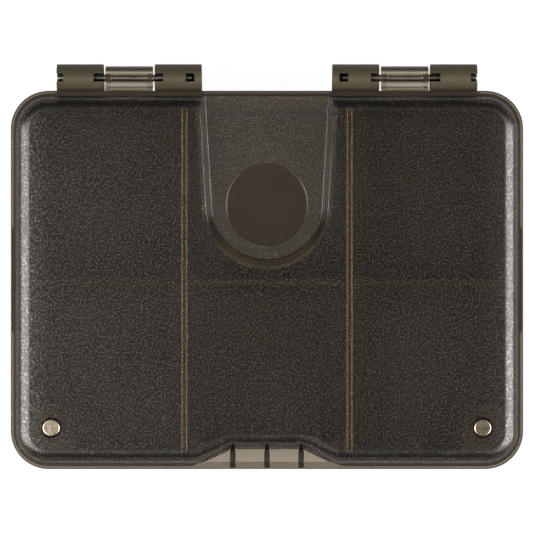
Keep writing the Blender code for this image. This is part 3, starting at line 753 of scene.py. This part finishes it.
def rounded(corners, inset, steps=CORNER_STEPS):
    """Outline with an arc at each corner (x, y, radius), anticlockwise, moved inwards by inset."""
    points = []
    for index, (x, y, radius) in enumerate(corners):
        corner = Vector((x, y))
        arriving = (corner - Vector(corners[index - 1][:2])).normalized()
        leaving = (Vector(corners[(index + 1) % len(corners)][:2]) - corner).normalized()
        inwards = Vector((-arriving.y, arriving.x))
        inwards_next = Vector((-leaving.y, leaving.x))
        corner += (inwards + inwards_next) * inset / (1 + inwards.dot(inwards_next))
        turn = math.atan2(arriving.cross(leaving), arriving.dot(leaving))
        side = math.copysign(1, turn)
        arc_radius = max(radius - side * inset, LEAST_RADIUS)
        start = corner - arriving * arc_radius * math.tan(abs(turn) / 2)
        centre = start + inwards * side * arc_radius
        count = max(LEAST_STEPS, round(steps * abs(turn) / (math.pi / 2)))
        for step in range(count + 1):
            points.append(centre + Matrix.Rotation(turn * step / count, 2) @ (start - centre))
    return points


def at_level(outline, z):
    return [(x, y, z) for x, y in outline]


def body_outline(inset, z, notch_reach=0.0):
    """The body's outline at a level, with the thumb notch in its front where a reach is given."""
    side = BODY_WIDTH / 2
    back = BODY_DEPTH / 2
    corners = [
        (side, -back, CORNER_RADIUS),
        (side, back, CORNER_RADIUS),
        (-side, back, CORNER_RADIUS),
        (-side, -back, CORNER_RADIUS),
    ]
    if notch_reach:
        mouth = NOTCH_HALF_WIDTH + notch_reach / math.tan(NOTCH_SLOPE)
        floor = -back + notch_reach
        corners += [
            (-mouth, -back, NOTCH_MOUTH_RADIUS),
            (-NOTCH_HALF_WIDTH, floor, NOTCH_FLOOR_RADIUS),
            (NOTCH_HALF_WIDTH, floor, NOTCH_FLOOR_RADIUS),
            (mouth, -back, NOTCH_MOUTH_RADIUS),
        ]
    return at_level(rounded(corners, inset), z)


def shoulder(inset, top, radius, steps=SHOULDER_STEPS):
    """(inset, z) of a quarter round that leads from an upright wall in to a flat top."""
    return [(inset + radius * (1 - math.cos(a)), top - radius * (1 - math.sin(a))) for a in quarter(steps)]


def foot(inset, bottom, radius, steps=SHOULDER_STEPS):
    """(inset, z) of a quarter round that leads from a flat bottom out to an upright wall."""
    turns = quarter(steps)
    return [(inset + radius * (1 - math.sin(a)), bottom + radius * (1 - math.cos(a))) for a in turns]


def arc_points(radius, first, last, steps):
    angles = [first + (last - first) * step / steps for step in range(steps + 1)]
    return [(radius * math.cos(a), radius * math.sin(a)) for a in angles]


# ---- Tray


def tray_shell():
    """Drafted outer body with a rounded bottom edge and the finger recess under the lid's notch."""
    levels = foot(RIM_INSET + WALL_DRAFT, 0, BOTTOM_RADIUS, FOOT_STEPS)
    levels += shoulder(RIM_INSET, RIM_HEIGHT, RIM_EDGE, EDGE_STEPS)
    return loft("tray", [body_outline(inset, z, TRAY_NOTCH_REACH) for inset, z in levels], [OLIVE])


def lip_plug():
    """Raised middle of the tray. What the wells leave of it is the lip that centres the lid."""
    levels = [(LIP_INSET, RIM_HEIGHT - ROOT)] + shoulder(LIP_INSET, LIP_TOP, LIP_EDGE, EDGE_STEPS)
    return loft("lip_plug", [body_outline(inset, z, NOTCH_REACH) for inset, z in levels], [OLIVE])


def well(name, corners):
    """Cutter for one well: drafted walls that sweep into the floor."""
    levels = foot(WELL_DRAFT, FLOOR_THICKNESS, WELL_SCOOP, FOOT_STEPS) + [(0, LIP_TOP + OVERRUN)]
    rings = [at_level(rounded(corners, inset, WELL_CORNER_STEPS), z) for inset, z in levels]
    return loft(name, rings, [OLIVE])


def well_columns():
    """(name, low x, high x) of the three columns of wells."""
    outer = BODY_WIDTH / 2 - WELL_INSET
    near = DIVIDER_X - DIVIDER_THICKNESS / 2 - DIVIDER_LEDGE
    far = DIVIDER_X + DIVIDER_THICKNESS / 2 + DIVIDER_LEDGE
    return [("left", -outer, -far), ("middle", -near, near), ("right", far, outer)]


def back_wells():
    low = CROSS_DIVIDER_OFFSET + CROSS_DIVIDER_THICKNESS / 2
    high = BODY_DEPTH / 2 - WELL_INSET
    wells = []
    for column, left, right in well_columns():
        ends = [(right, low), (right, high), (left, high), (left, low)]
        wells.append(well(f"back_{column}_well", [(x, y, WELL_CORNER_RADIUS) for x, y in ends]))
    return wells


def front_wells():
    """Front row: the middle well's front wall goes round the finger recess, the others round the posts."""
    high = CROSS_DIVIDER_OFFSET - CROSS_DIVIDER_THICKNESS / 2
    low = WELL_INSET - BODY_DEPTH / 2
    slant = NOTCH_REACH / math.tan(NOTCH_SLOPE)
    wells = []
    for column, left, right in well_columns():
        ends = [(right, low), (right, high), (left, high), (left, low)]
        if column == "middle":
            ends += [(left + slant, low + NOTCH_REACH), (right - slant, low + NOTCH_REACH)]
        cutter = well(f"front_{column}_well", [(x, y, WELL_CORNER_RADIUS) for x, y in ends])
        if column != "middle":
            cut(cutter, corner_post(column))
        wells.append(cutter)
    return wells


def corner_post(side):
    """Block that stays in a front corner for the tray's magnet, rounded about it."""
    inner_x = MAGNET_X - POST_RADIUS
    inner_y = MAGNET_Y + POST_RADIUS
    outer_x = BODY_WIDTH / 2
    outer_y = -BODY_DEPTH / 2
    ends = [(inner_x, inner_y), (inner_x, outer_y), (outer_x, outer_y), (outer_x, inner_y)]
    corners = [(x, y, POST_RADIUS) for x, y in ends]
    if side == "left":
        corners = [(-x, y, radius) for x, y, radius in reversed(corners)]
    levels = [(-WELL_DRAFT, 0), (0, LIP_TOP + OVERRUN + OVERRUN)]
    return loft(f"{side}_post", [at_level(rounded(corners, inset), z) for inset, z in levels], [OLIVE])


def divider_plate(name, x):
    """Upper part of a long divider, which reaches up to the lid's underside."""
    half = DIVIDER_THICKNESS / 2
    end = BODY_DEPTH / 2 - DIVIDER_END_INSET
    low = (x - half, -end, LIP_TOP - ROOT)
    # The rounded edges take the near-white painted highlight
    return block(name, low, (x + half, end, DIVIDER_TOP), OLIVE, OLIVE_PAINTED_HIGHLIGHT, edge=DIVIDER_EDGE)


def wall_pad(name, centre, half_length, outwards, height):
    """Pad on the tray's wall, flush with the lid's edge, with a sloping underside."""
    face = BODY_DEPTH / 2 if outwards == "Y" else BODY_WIDTH / 2
    reach = RIM_INSET + WALL_DRAFT
    profile = [
        (face - reach, RIM_HEIGHT - height - reach),
        (face, RIM_HEIGHT - height),
        (face, RIM_HEIGHT),
        (face - reach, RIM_HEIGHT),
    ]
    rings = []
    for along in (centre - half_length, centre + half_length):
        if outwards == "Y":
            rings.append([(along, out, z) for out, z in profile])
        else:
            side = -1 if outwards == "-X" else 1
            rings.append([(side * out, along, z) for out, z in profile])
    pad = loft(name, rings, [OLIVE])
    round_edges(pad, PAD_EDGE)
    return pad


def along_x(name, profile, low, high, material):
    """Solid with a (y, z) profile about the hinge axis, between two places along X."""
    rings = [[(x, HINGE_Y + y, HINGE_Z + z) for y, z in profile] for x in (low, high)]
    return loft(name, rings, [material])


def lug_profile():
    """Barrel with a level top that runs in to the pad and a gusset below."""
    root = -HINGE_BEHIND - ROOT
    crest_end = math.pi - math.asin(LUG_TOP_RISE / LUG_RADIUS)
    barrel = arc_points(LUG_RADIUS, -LUG_GUSSET_ANGLE, crest_end, BARREL_STEPS)
    foot_y, foot_z = barrel[0]
    gusset = (root, foot_z - (foot_y - root) / math.tan(LUG_GUSSET_ANGLE))
    return [gusset] + barrel + [(root, LUG_TOP_RISE)]


def knuckle_profile():
    """Barrel with the arm that joins it to the lid's flange."""
    root = -HINGE_BEHIND - ROOT
    first = math.pi - math.asin(KNUCKLE_ARM_RISE / KNUCKLE_RADIUS)
    barrel = arc_points(KNUCKLE_RADIUS, first, math.pi * 5 / 2, BARREL_STEPS)
    return [(root, KNUCKLE_ARM_RISE)] + barrel + [(root, KNUCKLE_RADIUS)]


def mirrored(low, high, side):
    return (low, high) if side > 0 else (-high, -low)


def hinge_spans(side):
    """Places along X of a hinge's pieces: each a (low, high) pair, for side -1 or 1."""
    knuckle = KNUCKLE_WIDTH / 2
    near = knuckle + HINGE_SIDE_GAP
    far = near + LUG_WIDTH
    spans = {"knuckle": (-knuckle, knuckle), "inner_lug": (-far, -near), "outer_lug": (near, far)}
    return {key: mirrored(HINGE_X + low, HINGE_X + high, side) for key, (low, high) in spans.items()}


def hinge_bore(name, side, material):
    """Bore from the hinge's outer end to just past the pin's inner end."""
    outer = HINGE_X + HINGE_HALF_WIDTH
    inner = outer - PIN_LENGTH - BORE_RUN_OUT
    low, high = mirrored(inner, outer + OVERRUN, side)
    radius = PIN_RADIUS + BORE_CLEARANCE
    profile = [(radius, 0), (radius, high - low)]
    return turned(name, profile, (low, HINGE_Y, HINGE_Z), "X", PIN_SIDES, material)


def window(name, low, high, side, upwards):
    """Slot between two places along X that opens the bore upwards or downwards."""
    low, high = mirrored(low, high, side)
    half = WINDOW_WIDTH / 2
    reach = LUG_RADIUS * 2 + OVERRUN
    bottom, top = (0, reach) if upwards else (-reach, 0)
    corner = (low, HINGE_Y - half, HINGE_Z + bottom)
    return block(name, corner, (high, HINGE_Y + half, HINGE_Z + top), OLIVE)


def lug_windows(side):
    """Windows that form the bore in the mould: from above at the lugs' ends, from below between."""
    near = KNUCKLE_WIDTH / 2 + HINGE_SIDE_GAP
    far = near + LUG_WIDTH
    above = [
        (HINGE_X + near - WINDOW_OVERLAP, HINGE_X + near + OUTER_KNUCKLE_WINDOW),
        (HINGE_X + far - OUTER_END_WINDOW, HINGE_X + far + OVERRUN),
        (HINGE_X - near - INNER_KNUCKLE_WINDOW, HINGE_X - near + WINDOW_OVERLAP),
        (HINGE_X - far + PIN_END_WALL, HINGE_X - far + PIN_END_WALL + PIN_END_WINDOW),
    ]
    below = [
        (above[0][1] + WINDOW_BRIDGE, above[1][0] - WINDOW_BRIDGE),
        (above[3][1] + WINDOW_BRIDGE, above[2][0] - WINDOW_BRIDGE),
    ]
    tops = [window(f"top_window_{n}", a, b, side, True) for n, (a, b) in enumerate(above)]
    return tops + [window(f"low_window_{n}", a, b, side, False) for n, (a, b) in enumerate(below)]


def magnet_pocket(name, x, surface, material):
    """Round pocket sunk from a surface."""
    start = (x, MAGNET_Y, surface - MAGNET_POCKET_DEPTH)
    radius = MAGNET_RADIUS + MAGNET_SIDE_GAP
    profile = [(radius, 0), (radius, MAGNET_POCKET_DEPTH + OVERRUN)]
    return turned(name, profile, start, "Z", ROUND_SIDES, material)


def tray():
    shell = tray_shell()
    added = [lip_plug()]
    cuts = []
    for name, side in (("left", -1), ("right", 1)):
        outwards = "X" if side > 0 else "-X"
        added.append(wall_pad(f"{name}_side_pad", 0, SIDE_PAD_LENGTH / 2, outwards, PAD_HEIGHT))
        pad_half = HINGE_HALF_WIDTH + HINGE_PAD_MARGIN
        added.append(wall_pad(f"{name}_hinge_pad", side * HINGE_X, pad_half, "Y", HINGE_PAD_HEIGHT))
        spans = hinge_spans(side)
        for key in ("inner_lug", "outer_lug"):
            lug = along_x(f"{name}_{key}", lug_profile(), *spans[key], OLIVE)
            round_edges(lug, LUG_EDGE)
            added.append(lug)
        cuts += [hinge_bore(f"{name}_lug_bore", side, OLIVE), *lug_windows(side)]
        cuts.append(magnet_pocket(f"{name}_tray_magnet_pocket", side * MAGNET_X, LIP_TOP, OLIVE))
    join(shell, *added)
    cut(shell, *back_wells(), *front_wells())
    join(shell, divider_plate("left_plate", -DIVIDER_X), divider_plate("right_plate", DIVIDER_X))
    cut(shell, *cuts)
    return shell


# ---- Lid

# The wall and shoulder finishes carry painted shade: darker tints than the top's
LID_FINISHES = [SMOKED_POLISHED, SMOKED_SHADED_WALL, SMOKED_SHADED_SHOULDER, SMOKED_LINE, SMOKED_GRAINED]
POLISHED, WALL, SHOULDER, LINE, GRAINED = range(5)


def flange_plate():
    """Flat rim of the lid, which also bridges the notch as the thumb's lip."""
    levels = foot(0, FLANGE_UNDERSIDE, FLANGE_EDGE, EDGE_STEPS)
    levels += shoulder(0, FLANGE_TOP, FLANGE_TOP_EDGE, EDGE_STEPS)
    return loft("lid_shell", [body_outline(inset, z) for inset, z in levels], [SMOKED_FLANGE])


def dome():
    """Domed top: a polished foot, darkened as painted shade, then grain on the shoulder, darkened as painted
    shade, and the top, with a fine line between.
    """
    levels = [(FLANGE_WIDTH - FLANGE_FILLET, FLANGE_TOP - FLANGE_THICKNESS / 2)]
    for a in quarter(EDGE_STEPS):
        out = FLANGE_WIDTH - FLANGE_FILLET * (1 - math.sin(a))
        levels.append((out, FLANGE_TOP - TOUCH + FLANGE_FILLET * (1 - math.cos(a))))
    polished = len(levels)
    radius = SHOULDER_RADIUS / (1 - math.sin(CROWN_TILT))
    centre_z = crowned(0) - radius * math.cos(CROWN_TILT)
    for step in range(SHOULDER_STEPS + 1):
        a = (math.pi / 2 - CROWN_TILT) * step / SHOULDER_STEPS
        levels.append((FLANGE_WIDTH + radius * (1 - math.cos(a)), centre_z + radius * math.sin(a)))
    grained = len(levels)
    crest = levels[-1][0]
    levels.append((crest + GRAIN_LINE, crowned(GRAIN_LINE)))
    for step in range(1, CROWN_STEPS + 1):
        along = CROWN_RUN * step / CROWN_STEPS
        levels.append((crest + along, crowned(along)))
    bands = [WALL] * (polished - 1) + [SHOULDER] * (grained - polished)
    bands += [LINE] + [GRAINED] * CROWN_STEPS
    rings = [body_outline(inset, z, NOTCH_REACH) for inset, z in levels]
    return loft("dome", rings, LID_FINISHES, bands, (POLISHED, GRAINED))


def crowned(along):
    """Level of the lid's top, which falls slightly to its shoulder, at a distance in from there."""
    return BODY_HEIGHT - math.tan(CROWN_TILT) * (CROWN_RUN - along) ** 2 / (2 * CROWN_RUN)


def dome_inside():
    """Hollow of the lid, which leaves the tongue's underside and the magnet bosses standing in it."""
    levels = [(LID_INSIDE_INSET, FLANGE_UNDERSIDE - OVERRUN)]
    levels += shoulder(LID_INSIDE_INSET, LID_INSIDE_TOP, SHOULDER_RADIUS - LID_WALL)
    rings = [body_outline(inset, z, NOTCH_REACH) for inset, z in levels]
    hollow = loft("dome_inside", rings, [SMOKED_POLISHED])
    bosses = []
    for name, x in (("left", -MAGNET_X), ("right", MAGNET_X)):
        start = (x, MAGNET_Y, LID_INSIDE_TOP - BOSS_DROP)
        profile = turned_ends(BOSS_RADIUS, BOSS_DROP + OVERRUN, PIN_EDGE)
        bosses.append(turned(f"{name}_boss", profile, start, "Z", ROUND_SIDES, SMOKED_POLISHED))
    cut(hollow, tongue_underside(), *bosses)
    return hollow


def tongue_ring(z, grow):
    """The tongue's outline, grown outwards, at a level: a round end and sides that spread."""
    radius = TONGUE_END_RADIUS + grow
    half = TONGUE_BACK_HALF_WIDTH + grow
    reach = math.hypot(TONGUE_END_SETBACK, half)
    tangent = math.atan2(TONGUE_END_SETBACK, half) - math.acos(radius / reach)
    back = BODY_DEPTH / 2 + OVERRUN
    spread = math.tan(-tangent)
    outline = [(half + OVERRUN * spread, back), (-half - OVERRUN * spread, back)]
    end = arc_points(radius, -math.pi - tangent, tangent, TONGUE_END_STEPS)
    outline += [(x, TONGUE_CENTRE_Y + y) for x, y in end]
    return at_level(outline, z)


def tongue_levels():
    """(z, grow) up the tongue's wall: a rounded foot, the slope, and a rounded edge at the lid's top."""
    foot_run = TONGUE_FOOT_RADIUS * math.tan(TONGUE_SLOPE / 2)
    top_run = TONGUE_TOP_RADIUS * math.tan(TONGUE_SLOPE / 2)
    tilts = [TONGUE_SLOPE * step / EDGE_STEPS for step in range(EDGE_STEPS + 1)]
    levels = []
    for tilt in tilts:
        grow = -foot_run + TONGUE_FOOT_RADIUS * math.sin(tilt)
        levels.append((TONGUE_FLOOR + TONGUE_FOOT_RADIUS * (1 - math.cos(tilt)), grow))
    for tilt in reversed(tilts):
        grow = TONGUE_WALL_SPREAD + top_run - TONGUE_TOP_RADIUS * math.sin(tilt)
        levels.append((BODY_HEIGHT - TONGUE_TOP_RADIUS * (1 - math.cos(tilt)), grow))
    return levels + [(BODY_HEIGHT + OVERRUN, TONGUE_WALL_SPREAD + top_run)]


def tongue_recess():
    levels = tongue_levels()
    rings = [tongue_ring(z, grow) for z, grow in levels]
    return loft("tongue_recess", rings, [SMOKED_SHADED_SLOPE, SMOKED_TONGUE], None, (1, 0))


def tongue_underside():
    """The tongue's moulding as it stands in the lid's hollow, one wall thickness outside the recess."""
    wall = LID_WALL * math.hypot(1, TONGUE_WALL_SPREAD / TONGUE_DEPTH)
    rings = []
    for z in (TONGUE_FLOOR - LID_WALL, LID_INSIDE_TOP + OVERRUN):
        rings.append(tongue_ring(z, (z - TONGUE_FLOOR) * TONGUE_WALL_SPREAD / TONGUE_DEPTH + wall))
    # Its walls take the nearly opaque dark underside finish: painted shade
    return loft("tongue_underside", rings, [SMOKED_POLISHED, SMOKED_SHADED_UNDERSIDE], [1])


def round_seat():
    """Cutter for the bare round seat, with softened edges at its floor and at its rim."""
    start = (0, TONGUE_CENTRE_Y, TONGUE_FLOOR - SEAT_DEPTH)
    profile = []
    for a in quarter(EDGE_STEPS):
        profile.append((SEAT_RADIUS - SEAT_EDGE * (1 - math.sin(a)), SEAT_EDGE * (1 - math.cos(a))))
    for a in quarter(EDGE_STEPS):
        up = SEAT_DEPTH - SEAT_EDGE * (1 - math.sin(a))
        profile.append((SEAT_RADIUS + SEAT_EDGE * (1 - math.cos(a)), up))
    profile.append((SEAT_RADIUS + SEAT_EDGE, SEAT_DEPTH + OVERRUN))
    return turned("round_seat", profile, start, "Z", SEAT_SIDES, SMOKED_SEAT)


def grip_rib(name, x):
    """Flat-topped rib that climbs from the thumb's lip to a point on the notch's wall."""
    base = FLANGE_TOP - FLANGE_THICKNESS / 2
    rings = []
    for along, share in ((0, 1), (RIB_LENGTH - RIB_POINT_LENGTH, 1), (RIB_LENGTH, RIB_POINT_SHARE)):
        y = FLANGE_EDGE + along - BODY_DEPTH / 2
        crest = FLANGE_TOP + RIB_FRONT_RISE + (RIB_BACK_RISE - RIB_FRONT_RISE) * along / RIB_LENGTH
        edge = RIB_EDGE * share
        side = [(RIB_WIDTH / 2 * share, base)]
        side += [(RIB_WIDTH / 2 * share - out, z) for out, z in shoulder(0, crest, edge, EDGE_STEPS)]
        profile = side + [(-across, z) for across, z in reversed(side)]
        rings.append([(x + across, y, z) for across, z in profile])
    return loft(name, rings, [SMOKED_RIBS])


def notch_recess():
    """Hollow under all of the notch's plate, behind the thicker lip that the thumb lifts."""
    run = NOTCH_REACH + FLANGE_WIDTH - NOTCH_LIP_WIDTH
    half = NOTCH_HALF_WIDTH + run / math.tan(NOTCH_SLOPE)
    front = NOTCH_LIP_WIDTH - BODY_DEPTH / 2
    back = front + run
    corners = [(half, front), (NOTCH_HALF_WIDTH, back), (-NOTCH_HALF_WIDTH, back), (-half, front)]
    levels = (FLANGE_UNDERSIDE - OVERRUN, FLANGE_UNDERSIDE + NOTCH_RECESS)
    rings = [at_level(corners, z) for z in levels]
    recess = loft("notch_recess", rings, [SMOKED_PLATE])
    round_edges(recess, NOTCH_RECESS_EDGE)
    return recess


def knuckle_pocket(name, side):
    """Pocket in a knuckle's top that shows the pin, with a shallow step towards the lid."""
    top = KNUCKLE_RADIUS + OVERRUN
    step = KNUCKLE_RADIUS - POCKET_STEP_DEPTH
    profile = [
        (-POCKET_FRONT, top),
        (-POCKET_FRONT, step),
        (-POCKET_STEP, step),
        (-POCKET_STEP, 0),
        (POCKET_BACK, 0),
        (POCKET_BACK, top),
    ]
    low, high = mirrored(HINGE_X - POCKET_LENGTH / 2, HINGE_X + POCKET_LENGTH / 2, side)
    return along_x(name, profile, low, high, SMOKED_POCKET)


def lid():
    shell = flange_plate()
    join(shell, dome())
    cut(shell, dome_inside(), tongue_recess(), round_seat())
    middle = (RIB_COUNT - 1) / 2
    added = [grip_rib(f"grip_rib_{n}", (n - middle) * RIB_PITCH) for n in range(RIB_COUNT)]
    cuts = [notch_recess()]
    for name, side in (("left", -1), ("right", 1)):
        spans = hinge_spans(side)
        knuckle = along_x(f"{name}_knuckle", knuckle_profile(), *spans["knuckle"], SMOKED_KNUCKLE)
        round_edges(knuckle, KNUCKLE_EDGE)
        added.append(knuckle)
        cuts.append(hinge_bore(f"{name}_knuckle_bore", side, SMOKED_KNUCKLE))
        cuts.append(knuckle_pocket(f"{name}_knuckle_pocket", side))
        x = side * MAGNET_X
        cuts.append(magnet_pocket(f"{name}_lid_magnet_pocket", x, BODY_HEIGHT, SMOKED_POLISHED))
    join(shell, *added)
    cut(shell, *cuts)
    return shell


# ---- Metal pieces


def magnet(name, x, surface):
    start = (x, MAGNET_Y, surface - MAGNET_SINK - MAGNET_THICKNESS)
    profile = turned_ends(MAGNET_RADIUS, MAGNET_THICKNESS, MAGNET_EDGE)
    return turned(name, profile, start, "Z", ROUND_SIDES, NICKEL)


def hinge_pin(name, side):
    outer = HINGE_X + HINGE_HALF_WIDTH
    low, _ = mirrored(outer - PIN_LENGTH, outer, side)
    profile = turned_ends(PIN_RADIUS, PIN_LENGTH, PIN_EDGE)
    return turned(name, profile, (low, HINGE_Y, HINGE_Z), "X", PIN_SIDES, STEEL)


finish_piece(tray(), "base", "base_tray")
finish_piece(lid(), "lid", "lid")
for label, hand in (("left", -1), ("right", 1)):
    finish_piece(hinge_pin(f"pin_{label}", hand), "base", f"hinge_pin_{label}")
    tray_magnet = magnet(f"tray_magnet_{label}", hand * MAGNET_X, LIP_TOP)
    finish_piece(tray_magnet, "base", f"base_magnet_{label}")
    top_magnet = magnet(f"top_magnet_{label}", hand * MAGNET_X, BODY_HEIGHT)
    finish_piece(top_magnet, "lid", f"lid_magnet_{label}")


# ---- Studio

# Floor: its plain level, then (level, glow) as the camera sees it, mirrored, and through plastic
FLOOR_SIZE = 4.0
FLOOR_ROUGHNESS = 0.9
FLOOR_LEVEL = 0.8
FLOOR_SEEN = (0.1, 0.96)
FLOOR_MIRRORED = (0.4, 0.16)
FLOOR_THROUGH = (0.6, 0.23)
WORLD_LEVEL = 0.07

# Soft boxes: name, place, size across and along, and power
LAMP_COLOUR = (1.0, 0.95, 0.885)
SOFTBOXES = (
    ("left_softbox", (-0.375, -0.1, 0.413), (0.36, 0.624), 3.3),
    ("right_softbox", (0.408, -0.1, 0.379), (0.4, 0.6), 3.7),
)


def studio_floor():
    """Floor that is white to the camera but for the object's shadow, and darker to other rays."""
    shape = bmesh.new()
    bmesh.ops.create_grid(shape, x_segments=2, y_segments=2, size=FLOOR_SIZE / 2)
    material, tree, shader, _ = new_material("studio_floor")
    path = tree.nodes.new("ShaderNodeLightPath")
    through = path.outputs["Is Transmission Ray"]
    mirrored = maths(tree, "SUBTRACT", path.outputs["Is Glossy Ray"], through, clamp=True)
    kinds = [(path.outputs["Is Camera Ray"], FLOOR_SEEN)]
    kinds += [(mirrored, FLOOR_MIRRORED), (through, FLOOR_THROUGH)]
    shade = FLOOR_LEVEL
    glow = 0.0
    for kind, (level, lit) in kinds:
        shade = maths(tree, "SUBTRACT", shade, maths(tree, "MULTIPLY", kind, FLOOR_LEVEL - level))
        glow = raised(tree, glow, kind, lit)
    wire(tree, shader.inputs["Base Color"], shade)
    shader.inputs["Roughness"].default_value = FLOOR_ROUGHNESS
    shader.inputs["Specular IOR Level"].default_value = 0.0
    shader.inputs["Emission Strength"].default_value = 1.0
    wire(tree, shader.inputs["Emission Color"], glow)
    mesh_object("studio_floor", shape, material)


def softbox(name, place, size, power):
    """Area light that the camera doesn't see, turned to the object from straight beside it."""
    data = bpy.data.lights.new(name, "AREA")
    data.shape = "RECTANGLE"
    data.size, data.size_y = size
    data.energy = power
    data.color = LAMP_COLOUR
    light = bpy.data.objects.new(name, data)
    light.location = place
    inwards = Vector((-place[0], 0.0, BODY_HEIGHT - place[2]))
    light.rotation_euler = inwards.to_track_quat("-Z", "Y").to_euler()
    light.visible_camera = False
    bpy.context.scene.collection.objects.link(light)


def studio_world():
    """Even grey light, which the camera sees as white."""
    world = bpy.data.worlds.new("studio")
    world.use_nodes = True
    tree = world.node_tree
    background = tree.nodes["Background"]
    path = tree.nodes.new("ShaderNodeLightPath")
    grey = (WORLD_LEVEL, WORLD_LEVEL, WORLD_LEVEL, 1.0)
    level = blend_colour(tree, path.outputs["Is Camera Ray"], grey, (1.0, 1.0, 1.0, 1.0))
    tree.links.new(level, background.inputs["Color"])
    bpy.context.scene.world = world


studio_floor()
studio_world()
for lamp in SOFTBOXES:
    softbox(*lamp)
bpy.context.scene.view_settings.view_transform = "Standard"
